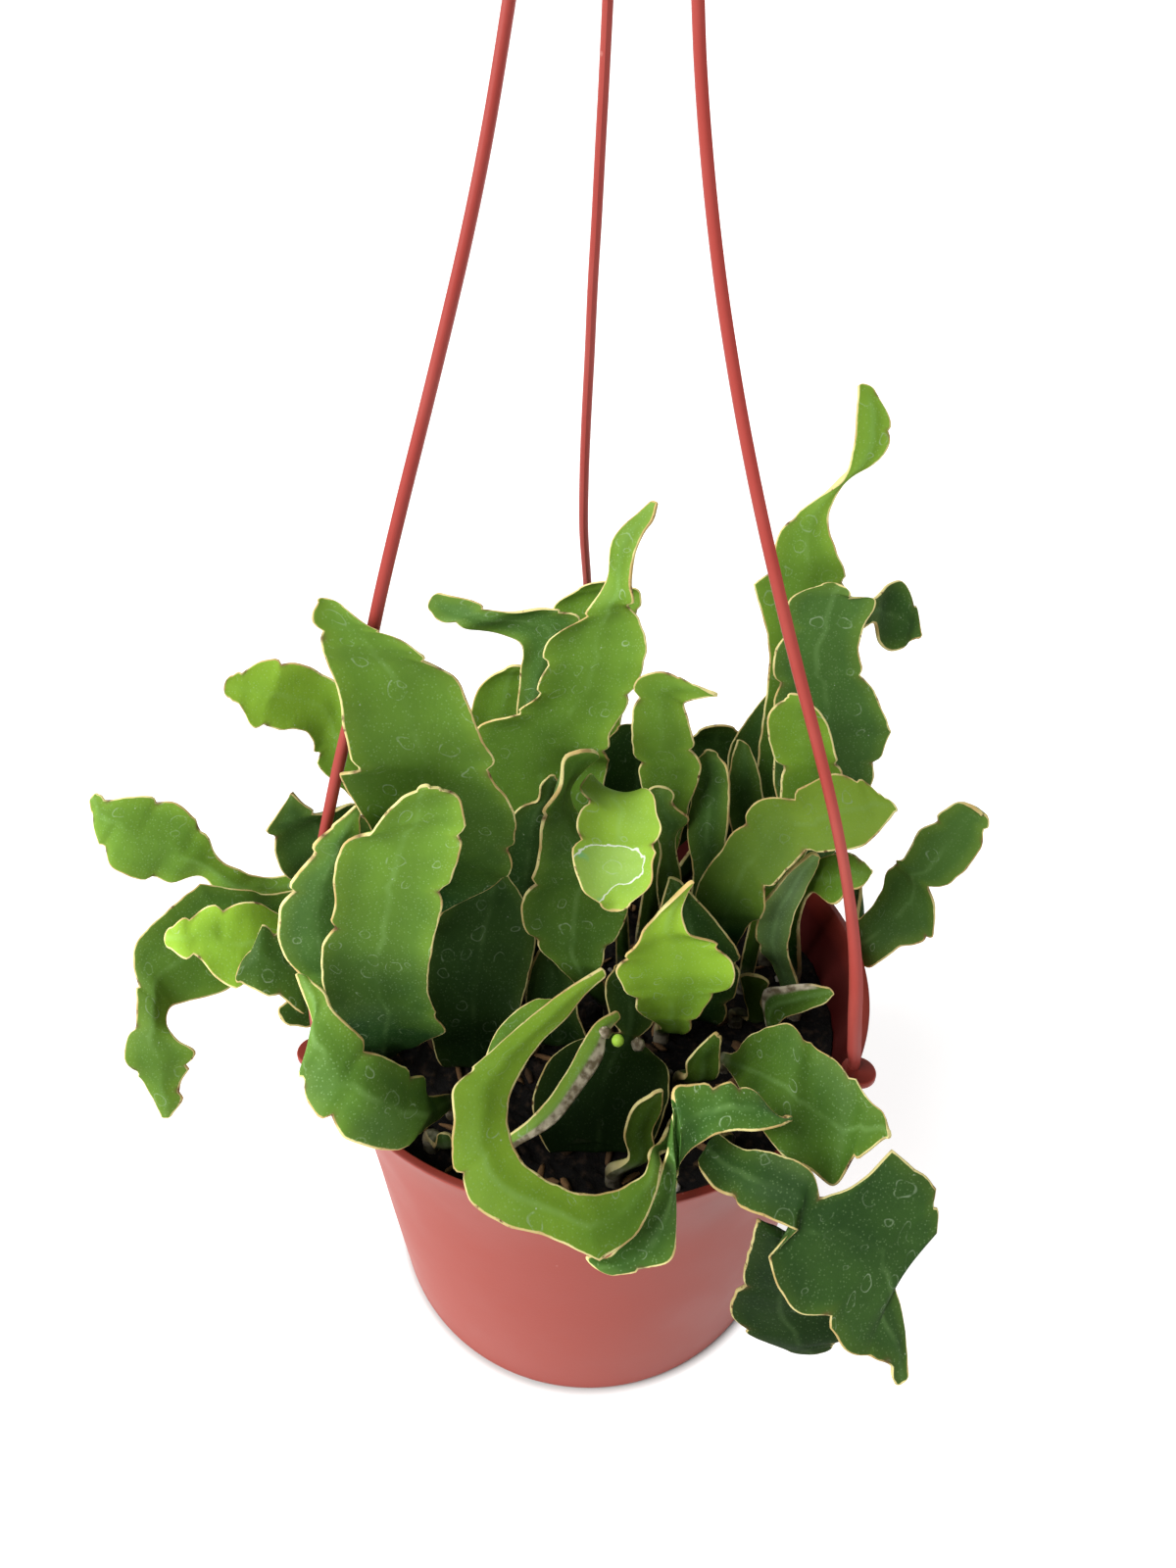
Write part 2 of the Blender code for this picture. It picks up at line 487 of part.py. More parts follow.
    Blade(
        "right_back_c", "dark", root=(14, 47), cup=1,
        left=((25, 41, 142), (27, 41, 158), (30, 40, 164)),
        right=((45, 41, 146), (45, 40, 160), (41, 40, 165)),
    ),
    Blade(
        "centre_back_dark", "dark", root=(-20, 8), cup=1,
        left=((-24, 2, 125), (-25, 4, 139), (-23, 6, 151), (-19, 8, 161), (-14, 8, 163), (-13, 8, 168),
              (-11, 9, 170)),
        right=((-11, 2, 125), (-10, 4, 139), (-9, 6, 151), (-9, 8, 160), (-9, 9, 164), (-8, 9, 168),
               (-9, 9, 170)),
        left_dips=(3.4,),
    ),
    Blade(
        "front_left_stub", "dark", root=(-39, -48), cup=0.5,
        left=((-38, -51, 102), (-37, -50, 104)),
        right=((-32, -52, 103), (-33, -51, 105)),
    ),
    Blade(
        "middle_dark", "dark", root=(-14, -16), cup=1,
        left=((-15, -20, 104), (-17, -17, 115), (-16, -14, 123), (-14, -12, 128), (-12, -10, 130)),
        right=((-1, -21, 104), (-3, -18, 113), (-4, -14, 120), (-7, -11, 124), (-9, -11, 130)),
    ),
    Blade(
        "centre_shadow", "dark", root=(-1, 32), cup=1,
        left=((4, 23, 131), (1, 26, 146), (0, 28, 156), (2, 30, 165), (7, 32, 170)),
        right=((22, 22, 131), (24, 25, 146), (26, 27, 157), (23, 28, 164), (17, 31, 169)),
    ),
    Blade(
        "front_curl_flap", "lime", root=None, cup=0.3,
        left=((-22, -59, 145), (-20, -54, 147), (-16, -50, 149), (-12, -48, 150), (-10, -48, 150)),
        right=((-20, -60, 145), (-17, -57, 147), (-12, -54, 148), (-8, -52, 150), (-6, -50, 150)),
    ),
)

# Stems that grow out of another stem, and the stalk that carries the front fold
BRANCHES = {
    "left_triangle": ("left_low",),
    "right_overhang": ("overhang_branch",),
    "right_dark": ("right_dark_tip",),
    "front_fold": ("front_fold_stalk",),
    "front_curl": ("front_curl_flap",),
}


def new_collection(name, helpers=False):
    """A collection in the scene; one for helpers takes no part in a render."""
    collection = bpy.data.collections.new(name)
    bpy.context.scene.collection.children.link(collection)
    collection.hide_render = helpers
    return collection


def finish_material(name):
    """A Principled material with the colour and roughness listed for this finish."""
    colour, roughness = FINISHES[name]
    material = bpy.data.materials.new(name)
    material.use_nodes = True
    shader = material.node_tree.nodes["Principled BSDF"]
    shader.inputs["Base Color"].default_value = (*colour, 1.0)
    shader.inputs["Roughness"].default_value = roughness
    shader.inputs["Metallic"].default_value = 0.0
    material.diffuse_color = (*colour, 1.0)
    return material


def mesh_object(name, mesh, collection, finish=None):
    """Links a mesh as an object, coloured as a part or hidden as a helper."""
    part = bpy.data.objects.new(name, mesh)
    collection.objects.link(part)
    if finish:
        mesh.materials.append(bpy.data.materials[finish])
    else:
        part.hide_render = True
        part.display_type = "WIRE"
    return part


def mesh_from(name, points_mm, faces):
    """A closed mesh from points in millimetres, its faces turned outward."""
    mesh = bpy.data.meshes.new(name)
    mesh.from_pydata((np.asarray(points_mm) * MM).tolist(), [], faces)
    work = bmesh.new()
    work.from_mesh(mesh)
    bmesh.ops.recalc_face_normals(work, faces=work.faces)
    work.to_mesh(mesh)
    work.free()
    return mesh


def turned_part(name, profile_mm, collection, finish):
    """A profile of radius and height, from the axis down its outer side, turned into a solid."""
    mesh = bpy.data.meshes.new(name)
    rings = [(radius * MM, 0.0, height * MM) for radius, height in profile_mm]
    mesh.from_pydata(rings, [(i, i + 1) for i in range(len(rings) - 1)], [])
    part = mesh_object(name, mesh, collection, finish)
    screw = part.modifiers.new("Turn", "SCREW")
    screw.steps = POT_SIDES
    screw.render_steps = POT_SIDES
    screw.use_merge_vertices = True
    screw.merge_threshold = MERGE
    screw.use_smooth_shade = False
    return part


def upright_rods(name, places, radius, bottom, top, collection, sides=ROD_SIDES):
    """One helper mesh with an upright rod at each place, all in millimetres."""
    work = bmesh.new()
    for x, y in places:
        rod = bmesh.ops.create_cone(
            work,
            cap_ends=True,
            segments=sides,
            radius1=radius * MM,
            radius2=radius * MM,
            depth=(top - bottom) * MM,
        )
        middle = (x * MM, y * MM, (top + bottom) / 2 * MM)
        bmesh.ops.translate(work, verts=rod["verts"], vec=middle)
    mesh = bpy.data.meshes.new(name)
    work.to_mesh(mesh)
    work.free()
    return mesh_object(name, mesh, collection)


def boolean(part, other, operation):
    """Joins another mesh to a part, or cuts it away."""
    step = part.modifiers.new(f"{operation.title()} {other.name}", "BOOLEAN")
    step.operation = operation
    step.solver = "EXACT"
    step.object = other


def around(radius, azimuth):
    """The point at this radius and azimuth in degrees."""
    return radius * cos(radians(azimuth)), radius * sin(radians(azimuth))


def ear_azimuths():
    """Where the ears sit: one at the back and one on each side of it."""
    return [BACK_STRAND + side * EAR_TURN for side in (-1, 0, 1)]


def drain_azimuths():
    return [FIRST_DRAIN + 360 / DRAINS * k for k in range(DRAINS)]


def pot_inside():
    """The inner side of the wall from the floor up, one wall thickness in from the outer side."""
    side = [(radius - WALL, height) for radius, height in POT_SIDE[2:-2]]
    return [(POT_SIDE[1][0] - WALL, FLOOR), *side, (RIM_RADIUS - WALL, POT_HEIGHT)]


def inside_radius(height):
    """The radius of the inner side of the wall at a height."""
    radii, heights = zip(*pot_inside())
    return float(np.interp(height, heights, radii))


def drain_channels(collection):
    """Shallow channels in the underside that run out through the foot of the wall."""
    work = bmesh.new()
    inner = DRAIN_HOLE_AT
    outer = BASE_RADIUS + 2 * PASS
    for azimuth in drain_azimuths():
        box = bmesh.ops.create_cube(work, size=MM)
        verts = box["verts"]
        bmesh.ops.scale(work, verts=verts, vec=(outer - inner, DRAIN_WIDTH, 2 * DRAIN_HEIGHT))
        bmesh.ops.translate(work, verts=verts, vec=((outer + inner) / 2 * MM, 0, 0))
        bmesh.ops.rotate(work, verts=verts, cent=(0, 0, 0), matrix=Matrix.Rotation(radians(azimuth), 3, "Z"))
    mesh = bpy.data.meshes.new("drain_channels")
    work.to_mesh(mesh)
    work.free()
    return mesh_object("drain_channels", mesh, collection)


def build_pot(parts, helpers):
    """The flared pot with its three ears, their sockets, and the drains in its floor."""
    profile = [(0.0, FLOOR), *pot_inside(), *reversed(POT_SIDE), (0.0, 0.0)]
    pot = turned_part("pot", profile, parts, "pot")
    ears = [around(EAR_AT, azimuth) for azimuth in ear_azimuths()]
    discs = upright_rods("ears", ears, EAR_RADIUS, EAR_TOP - EAR_THICK, EAR_TOP, helpers, ROUND_SIDES)
    boolean(pot, discs, "UNION")
    boolean(pot, drain_channels(helpers), "DIFFERENCE")
    drains = [around(DRAIN_HOLE_AT, azimuth) for azimuth in drain_azimuths()]
    holes = upright_rods("drain_holes", drains, DRAIN_HOLE_RADIUS, -PASS, FLOOR + PASS, helpers)
    boolean(pot, holes, "DIFFERENCE")
    places = [around(SOCKET_AT, azimuth) for azimuth in ear_azimuths()]
    bottom = EAR_TOP - SOCKET_DEPTH
    sockets = upright_rods("sockets", places, SOCKET_RADIUS, bottom, POT_HEIGHT + PASS, helpers)
    boolean(pot, sockets, "DIFFERENCE")


def build_soil(parts, helpers):
    """The potting mix as one plug in the pot, with a plain blind hole for each root."""
    low = FLOOR + SEAT_GAP
    heights = [height for radius, height in reversed(pot_inside()) if low + CLOSE < height < SOIL_TOP - CLOSE]
    side = [(inside_radius(height) - SEAT_GAP, height) for height in (SOIL_TOP, *heights, low)]
    soil = turned_part("soil", [(0.0, SOIL_TOP), *side, (0.0, low)], parts, "soil")
    roots = [blade.root for blade in BLADES if blade.root]
    bottom = SOIL_TOP - ROOT_DEPTH - SEAT_GAP
    holes = upright_rods("root_holes", roots, ROOT_HOLE_RADIUS, bottom, SOIL_TOP + PASS, helpers)
    boolean(soil, holes, "DIFFERENCE")


def edge_lines(blade):
    """Both edges of a stem, with two upright rows at the root put before the listed ones."""
    left = np.array(blade.left, float)
    right = np.array(blade.right, float)
    if blade.root is None:
        return left, right, 0
    across = (right[0] - left[0]) * (1, 1, 0)
    across *= ROOT_HALF_WIDTH / np.linalg.norm(across)
    rows = [np.array((*blade.root, SOIL_TOP + lift)) for lift in (-ROOT_DEPTH, ROOT_RISE)]
    left = np.vstack([[row - across for row in rows], left])
    right = np.vstack([[row + across for row in rows], right])
    return left, right, len(rows)


def stations(left, right, dips):
    """Places along a stem for its cross-sections: even steps, and the foot and shoulders of each dip."""
    places = []
    for row in range(len(left) - 1):
        length = max(np.linalg.norm(edge[row + 1] - edge[row]) for edge in (left, right))
        count = int(np.clip(round(length / STATION_STEP), 1, MOST_STEPS))
        places += [row + part / count for part in range(count)]
    places.append(len(left) - 1.0)
    places = [at for at in places if all(abs(at - dip) > DIP_SHOULDER / 2 for dip in dips)]
    between = [at for at in places if at != round(at)]
    crowded = {at for at in between if any(abs(at - dip) <= CROWDED for dip in dips)}
    places = [at for at in places if at not in crowded] + list(dips)
    for dip in dips:
        for shoulder in (dip - DIP_SHOULDER, dip + DIP_SHOULDER):
            if all(abs(shoulder - at) > DIP_SHOULDER / 2 for at in places):
                places.append(shoulder)
    return np.array(sorted(at for at in places if 0 <= at <= len(left) - 1))


def smooth_edge(points, at, corners, rooted):
    """Reads a cubic curve through the points at the given stations, with sharp turns at the corners."""
    count = len(points)
    padded = np.vstack([2 * points[0] - points[1], points, 2 * points[-1] - points[-2]])
    leaving = (padded[2:] - padded[:-2]) / 2
    arriving = leaving.copy()
    for corner in corners:
        arriving[corner] = points[corner] - points[corner - 1]
        leaving[corner] = points[corner + 1] - points[corner] if corner + 1 < count else arriving[corner]
    if rooted:
        arriving[1] = leaving[0] = points[1] - points[0]
    row = np.clip(at.astype(int), 0, count - 2)
    u = (at - row)[:, None]
    start = (2 * u**3 - 3 * u**2 + 1) * points[row] + (u**3 - 2 * u**2 + u) * leaving[row]
    end = (3 * u**2 - 2 * u**3) * points[row + 1] + (u**3 - u**2) * arriving[row + 1]
    return start + end


def dip_amount(at, dips):
    """One at the bottom of a dip, falling to nothing at its reach."""
    if not dips:
        return np.zeros_like(at)
    nearness = [np.clip(1 - np.abs(at - dip) / DIP_REACH, 0, 1) ** DIP_ROUND for dip in dips]
    return np.max(nearness, axis=0)


def blade_mesh(blade):
    """The closed strip of one stem: six points a section, from left edge over the rib to the right edge."""
    left, right, rooted = edge_lines(blade)
    left_dips = [dip + rooted for dip in blade.left_dips]
    right_dips = [dip + rooted for dip in blade.right_dips]
    at = stations(left, right, sorted({*left_dips, *right_dips}))
    left = smooth_edge(left, at, [corner + rooted for corner in blade.left_corners], rooted)
    right = smooth_edge(right, at, [corner + rooted for corner in blade.right_corners], rooted)
    width = np.linalg.norm(right - left, axis=1)[:, None]
    across = (right - left) / width
    depth = np.minimum(DIP_DEPTH, DIP_SHARE * width)
    left = left + across * depth * dip_amount(at, left_dips)[:, None]
    right = right - across * depth * dip_amount(at, right_dips)[:, None]
    middle = (left + right) / 2
    facing = np.cross(np.gradient(middle, at, axis=0), right - left)
    facing /= np.linalg.norm(facing, axis=1)[:, None]
    grown = np.clip((at - 1) / FOOT_ROWS, 0, 1)[:, None] if rooted else np.ones((len(at), 1))
    rib = middle + facing * blade.cup * grown * np.clip(width / NARROW, 0, 1)
    edge_half = (EDGE_THICK + (ROOT_EDGE_THICK - EDGE_THICK) * (1 - grown)) / 2
    rib_half = (RIB_THICK + (ROOT_RIB_THICK - RIB_THICK) * (1 - grown)) / 2
    lines = ((left, edge_half), (rib, rib_half), (right, edge_half))
    front = [line + facing * half for line, half in lines]
    back = [line - facing * half for line, half in reversed(lines)]
    points = np.stack(front + back, axis=1).reshape(-1, 3)
    return mesh_from(blade.name, points, strip_faces(len(at)))


def strip_faces(sections):
    """Triangles between sections of six points, cut alike on the front and back, with a cap at each end."""
    faces = []
    for section in range(sections - 1):
        for side in range(6):
            near = (section * 6 + side, section * 6 + (side + 1) % 6)
            far = (near[0] + 6, near[1] + 6)
            if side in (3, 4):
                faces += [(near[0], far[0], near[1]), (far[0], far[1], near[1])]
            else:
                faces += [(near[0], far[0], far[1]), (near[0], far[1], near[1])]
    last = (sections - 1) * 6
    faces += [(0, 1, 4), (0, 4, 5), (1, 2, 3), (1, 3, 4)]
    faces += [(last, last + 4, last + 1), (last, last + 5, last + 4)]
    faces += [(last + 1, last + 3, last + 2), (last + 1, last + 4, last + 3)]
    return faces


def build_stems(parts, helpers):
    """Every stem as its own part, with each branch joined to the stem it grows from."""
    blades = {blade.name: blade for blade in BLADES}
    branches = {name for group in BRANCHES.values() for name in group}
    for blade in BLADES:
        if blade.name in branches:
            continue
        stem = mesh_object(f"stem_{blade.name}", blade_mesh(blade), parts, blade.finish)
        for name in BRANCHES.get(blade.name, ()):
            boolean(stem, mesh_object(name, blade_mesh(blades[name]), helpers), "UNION")


def tube_curve(name, points, radius_mm):
    """A wire through the points with its own half-thickness at each, as a mesh with closed ends."""
    curve = bpy.data.curves.new(name, "CURVE")
    curve.dimensions = "3D"
    curve.bevel_depth = MM
    curve.bevel_resolution = STRAND_SIDES // 4
    curve.use_fill_caps = True
    line = curve.splines.new("POLY")
    line.points.add(len(points) - 1)
    for knot, place, radius in zip(line.points, points, radius_mm):
        knot.co = (place[0] * MM, place[1] * MM, place[2] * MM, 1)
        knot.radius = radius
    carrier = bpy.data.objects.new(name, curve)
    bpy.context.scene.collection.objects.link(carrier)
    graph = bpy.context.evaluated_depsgraph_get()
    mesh = bpy.data.meshes.new_from_object(carrier.evaluated_get(graph))
    bpy.data.objects.remove(carrier)
    work = bmesh.new()
    work.from_mesh(mesh)
    bmesh.ops.remove_doubles(work, verts=work.verts, dist=1e-6)
    bmesh.ops.recalc_face_normals(work, faces=work.faces)
    work.to_mesh(mesh)
    work.free()
    mesh.name = name
    return mesh


def strand_path(side):
    """The middle line of one strand and its half-thickness, read from a smooth curve twice for each row."""
    turn = BACK_STRAND + (side - 1) * 360 / STRANDS
    outward = np.array(around(1.0, turn))
    sideways = np.array(around(1.0, turn + 90))
    steps = [row[2 + side] for row in STRAND]
    rows = [(*(radius * outward + aside * sideways), row[0]) for row, (radius, aside) in zip(STRAND, steps)]
    at = np.arange(2 * len(STRAND) - 1) / 2
    halves = np.interp(at, np.arange(len(STRAND)), [row[1] for row in STRAND])
    return smooth_edge(np.array(rows), at, (), 0), halves


def hook_points():
    """The hook's middle line, from the hub up and over a round crook that sits above the pot's axis."""
    bend = [around(HOOK_RADIUS, turn) for turn in HOOK_TURNS]
    return [*HOOK_FOOT, *[(x, 0.0, HOOK_MIDDLE + z) for x, z in bend]]


def build_hanger(parts, helpers):
    """The moulded hanger: hub and hook above, with three strands that bow out to the ears of the pot."""
    hanger = turned_part("hanger", HUB, parts, "hanger")
    hanger.modifiers["Turn"].steps = ROUND_SIDES
    hanger.modifiers["Turn"].render_steps = ROUND_SIDES
    for side in range(STRANDS):
        name = f"strand_{side + 1}"
        boolean(hanger, mesh_object(name, tube_curve(name, *strand_path(side)), helpers), "UNION")
    wire = hook_points()
    mesh = tube_curve("hook", wire, [HOOK_WIRE] * len(wire))
    boolean(hanger, mesh_object("hook", mesh, helpers), "UNION")


def main():
    for old in list(bpy.data.objects):
        bpy.data.objects.remove(old, do_unlink=True)
    for name in FINISHES:
        finish_material(name)
    parts = new_collection("potted_orchid_cactus")
    helpers = new_collection("helpers", helpers=True)
    build_pot(parts, helpers)
    build_soil(parts, helpers)
    build_stems(parts, helpers)
    build_hanger(parts, helpers)


main()
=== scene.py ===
"""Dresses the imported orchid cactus: waxy stems with corky margins, a moulded pot and hanger, potting mix.

Sizes are in millimetres and turned into metres where a mesh is made. The origin is the middle of the pot's
base and +Z is up. Each piece is a surface worked out on a grid, and each stem is lofted between its two edge
lines.
"""

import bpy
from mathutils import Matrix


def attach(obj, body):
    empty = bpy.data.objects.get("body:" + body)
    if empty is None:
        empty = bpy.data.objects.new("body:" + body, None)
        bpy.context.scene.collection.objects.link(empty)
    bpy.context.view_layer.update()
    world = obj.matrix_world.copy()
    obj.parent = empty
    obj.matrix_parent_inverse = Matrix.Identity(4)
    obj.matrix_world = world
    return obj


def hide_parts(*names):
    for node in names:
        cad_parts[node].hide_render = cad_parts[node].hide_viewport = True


bl_info = {
    "name": "Orchid cactus looks",
    "version": (1, 0, 0),
    "blender": (4, 5, 0),
    "location": "View3D > Sidebar > Orchid cactus",
    "description": "Builds the finished look of a potted orchid cactus around its packed solids",
    "category": "Object",
}

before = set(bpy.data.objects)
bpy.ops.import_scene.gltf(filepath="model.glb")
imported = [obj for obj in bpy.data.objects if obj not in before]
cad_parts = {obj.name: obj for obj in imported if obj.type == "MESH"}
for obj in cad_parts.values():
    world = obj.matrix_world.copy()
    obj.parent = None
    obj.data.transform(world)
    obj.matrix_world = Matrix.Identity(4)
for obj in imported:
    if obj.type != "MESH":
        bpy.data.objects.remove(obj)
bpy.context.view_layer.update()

from collections import namedtuple
from math import cos, pi, radians, sin, tau

import bmesh
import bpy
import numpy as np
from bpy.props import FloatProperty, IntProperty, StringProperty
from mathutils import Matrix, Vector

MM = 0.001
# Edges shorter than this, in metres, are dissolved after a Boolean step
NO_LENGTH = 0.000002
# How far a tube's pole stands past its last ring
POLE_STEP = 0.2
# The single waves of a soft irregular field differ in length from its own by factors in this range
WAVE_SPREAD = (0.6, 1.7)

# Pot, millimetres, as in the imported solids
POT_HEIGHT = 115.3
RIM_RADIUS = 76.1
BASE_RADIUS = 61.6
FLOOR = 2.6
# Outer side of the pot, radius and height, from just above the foot up to the flared rim
POT_SIDE = (
    (62.3, 1.5), (62.8, 8.0), (64.9, 38.0), (66.3, 60.0), (67.8, 78.0), (69.7, 92.0), (72.4, 104.0),
    (RIM_RADIUS, POT_HEIGHT - 0.5),
)
POT_STEP = 2.5
# Drain channels under the foot, each with a drain hole at this distance from the axis
DRAINS = 6
FIRST_DRAIN = -103.5
DRAIN_HALF_WIDTH = 3.6
DRAIN_HEIGHT = 1.4
DRAIN_HOLE_RADIUS = 3.6
DRAIN_HOLE_AT = 48.0
# How far a drain hole's cutter runs past the floor
PASS = 4
# The azimuth of the back strand and its ear, and the turns from it to the others, in degrees
BACK_STRAND = 87.75
STRAND_TURN = 120
EAR_TURN = 117.5
EAR_AT = 76.6
EAR_TOP = POT_HEIGHT - 0.2
EAR_THICK = 2.2
# Sharp edges are those that turn by more than this, in degrees
POT_SHARP = 38
HANGER_SHARP = 40
# Painted shade inside the pot: below this far under the rim the inside of the wall is all painted shade, and
# over this height above it it takes the outer colour up to this share
FADE_DEPTH = 7
FADE_HEIGHT = 6.5
FADE_MOST = 0.45
# How pale the flow clouding is in the plastic of the pot and of the hanger
POT_BLOOM = 0.05
HANGER_BLOOM = 0.15

# Potting mix
SOIL_TOP = 98.0
SEAT_GAP = 0.3
# How far its lumps lie below the top on average, and the height and width of each field of them
SETTLED = 0.6
MIX_LUMPS = ((1.1, 26), (0.8, 7), (0.45, 2.6))
MIX_SIDES = 300
MIX_RINGS = 120
MIX_SEED = 7
# Loose bits on the mix: the ranges of their lengths, widths and heights, and how high their middles lie on it
BARK_SPAN = ((3.0, 9.0), (1.2, 3.0), (0.8, 1.8))
PERLITE_SPAN = ((1.2, 3.0), (1.0, 2.4), (1.0, 2.2))
BITS_SEED = 41
BITS_LIFT = 0.5
# They keep this far from the wall, and the corners of each are pushed about by up to this share of its size
BITS_INSET = 4
BITS_ROUGH = 0.16

# Stems: the root below and above the mix, then the thickness at the edges and the rib, and in the root
ROOT_DEPTH = 8.0
ROOT_RISE = 3.0
ROOT_HALF_WIDTH = 2.2
EDGE_THICK = 1.0
RIB_THICK = 2.2
ROOT_EDGE_THICK = 3.0
ROOT_RIB_THICK = 4.0
# How many listed rows the thicker foot of a stem takes to thin out
FOOT_ROWS = 1.2
ROW_STEP = 1.1
# Columns of a section: distances from each margin, and how many lie between
MARGIN_STEPS = (0.0, 0.07, 0.22, 0.45, 0.8, 1.5)
INNER_COLUMNS = 11
# Stems narrower than these widths have less crown, less sway, less waver and a slimmer margin
CROWN_WIDTH = 20.0
SWAY_WIDTH = 18
WAVER_WIDTH = 12
MARGIN_WIDTH = 9
CROWN_POWER = 1.7
NOTCH_DEPTH = 1.9
NOTCH_SHARE = 0.13
NOTCH_FOOT_SIDE = 5.2
NOTCH_TIP_SIDE = 1.9
NOTCH_POWER = 1.6
# Fine waver of the edges and sway of the margins: height and length of the wave
WAVER = 0.13
WAVER_LENGTH = 7
SWAY = 0.55
SWAY_LENGTH = 22
# Half the rib's width, as a share of the stem's and in millimetres, and the stretch over which it ends
RIB_SHARE = 0.13
RIB_REACH = 0.9
RIB_END = 9
# A stem's rounded end: its length by the width and at most, its rows as turns in degrees, and its pole
TIP_SHARE = 0.3
TIP_REACH = 2.2
TIP_TURNS = (18, 34, 48, 60, 70, 79, 86)
TIP_POLE = 0.05
# Painted shade in the crowded middle of the clump, darkest near the mix: its radius and how softly it ends,
# the height over the mix where it starts to grow lighter, how far it reaches up from there, and how much it
# darkens the skin
CROWD_RADIUS = 70.0
CROWD_FADE = 14
CROWD_FOOT = 4
CROWD_DEPTH = 38.0
CROWD_SHADE = 0.72
# The brown mark in a notch reaches this far along the margin and in from it
KNOT_REACH = 0.9
# The foot of a stem is corky up to here along it, and fades over this stretch
CORKY_FOOT = 10
CORKY_FADE = 9
# How softly a band of cork ends across and along the stem, as shares
BAND_FADE = (0.2, 0.06)
# Stands for a place far from any dried film
FAR = 99.0
# Places on the skins of different stems lie this far apart, so that no two have the same marks
SKIN_APART = 310

# Hanger: height and half-thickness of the strands, then the radius and the sideways step of the right,
# back and left strand. They bow out and lean a little to the left, and each foot steps over to its ear.
FOOT_HEIGHT = 113.6
HUB_HEIGHT = 368.0
STRAND = (
    (FOOT_HEIGHT, 1.2, (75.1, 3.3), (75.2, 0.0), (75.1, -3.3)),
    (EAR_TOP, 1.2, (75.1, 3.3), (75.2, 0.0), (75.1, -3.3)),
    (EAR_TOP + 1.5, 1.25, (75.1, 3.3), (75.2, 0.0), (75.1, -3.3)),
    (121.0, 1.5, (74.7, 2.3), (74.9, 0.0), (74.8, -2.3)),
    (127.0, 1.5, (74.2, 1.2), (74.5, 0.1), (74.5, -1.2)),
    (135.0, 1.5, (73.3, 0.3), (73.8, 0.4), (74.0, -0.3)),
    (146.0, 1.45, (71.8, 0.0), (72.4, 0.9), (72.9, 0.0)),
    (158.0, 1.3, (69.3, 0.0), (70.1, 1.5), (70.9, 0.0)),
    (173.0, 1.15, (65.2, 0.0), (66.3, 2.2), (67.3, 0.0)),
    (188.0, 1.15, (60.2, 0.0), (61.4, 3.0), (62.6, 0.0)),
    (204.0, 1.18, (54.0, 0.0), (55.5, 3.6), (57.0, 0.0)),
    (220.0, 1.2, (47.4, 0.0), (48.9, 4.2), (50.6, 0.0)),
    (235.0, 1.18, (41.5, 0.0), (43.4, 3.9), (45.4, 0.0)),
    (250.0, 1.17, (35.9, 0.0), (37.9, 3.2), (39.9, 0.0)),
    (265.0, 1.13, (30.8, 0.0), (32.5, 2.3), (34.2, 0.0)),
    (280.0, 1.1, (26.3, 0.0), (27.4, 1.5), (28.6, 0.0)),
    (292.0, 1.07, (23.2, 0.0), (23.8, 0.7), (24.3, 0.0)),
    (304.0, 1.04, (20.6, 0.0), (20.5, 0.0), (20.4, 0.0)),
    (316.0, 1.0, (18.5, 0.0), (17.7, -0.7), (17.0, 0.0)),
    (330.0, 1.0, (16.7, 0.0), (15.2, -1.3), (13.5, 0.0)),
    (344.0, 1.0, (14.4, 0.0), (12.7, -1.3), (10.9, 0.0)),
    (357.0, 1.1, (10.6, 0.0), (9.8, -0.7), (8.6, 0.0)),
    (HUB_HEIGHT, 1.1, (6.0, 0.0), (6.0, 0.0), (6.0, 0.0)),
)
HUB = (
    (0, HUB_HEIGHT + 4), (3.2, HUB_HEIGHT + 4), (4.0, HUB_HEIGHT + 3.7), (8.6, HUB_HEIGHT - 0.4),
    (9.0, HUB_HEIGHT - 1), (9.0, HUB_HEIGHT - 3), (8.7, HUB_HEIGHT - 3.7), (8.0, HUB_HEIGHT - 4),
    (0, HUB_HEIGHT - 4),
)
STRAND_STEP = 1.5
STRAND_SIDES = 28
HUB_SIDES = 96
# Mould lines on the strands and the hook, as a share of their thickness, and their width as a cosine
STRAND_RIDGE = 0.16
HOOK_RIDGE = 0.06
RIDGE_WIDTH = 0.22
HOOK_WIRE = 2.0
HOOK_STEP = 1.2
HOOK_RADIUS = 13.0
HOOK_MIDDLE = HUB_HEIGHT + 41
HOOK_FOOT = ((0, 0, HUB_HEIGHT), (0, 0, HUB_HEIGHT + 10), (-4, 0, HUB_HEIGHT + 17))
HOOK_TURNS = (205, 180, 150, 120, 90, 60, 30, 0, -20)
# The hook's rounded point, as shares of its thickness
HOOK_POINT = (0.96, 0.8, 0.45)

# Camera, fitted to the photograph: place in metres, pitch below level and roll in degrees, lens in mm
CAMERA_PLACE = (-0.0008, -0.1952, 0.3108)
CAMERA_PITCH = 35.0
CAMERA_ROLL = 0.34
CAMERA_LENS = 22.4

# Stage: the strength of the sky and of the lit paper, and the key light's direction, strength and spread in
# degrees
SKY = 0.22
PAPER_GLOW = 0.76
KEY_FROM = (-0.85, -0.5, 0.9)
KEY_STRENGTH = 4.8
KEY_SPREAD = 40
# Painted contact shadow: the paper's glow is cut away under the pot and just round its foot; where the glow
# starts and where it is full, in metres from the axis
PAINTED_CONTACT_SHADOW = (0.0615, 0.0655)
# The paper, in metres: half its width, its front, where its sweep starts, the sweep's radius, its top, and
# how far it lies below the pot's foot
PAPER_HALF = 8
PAPER_COLUMNS = 9
PAPER_FRONT = (-6, -2)
SWEEP_AT = 2.5
SWEEP_RADIUS = 1.2
SWEEP_TURNS = 13
PAPER_TOP = 4
PAPER_DROP = 0.00005

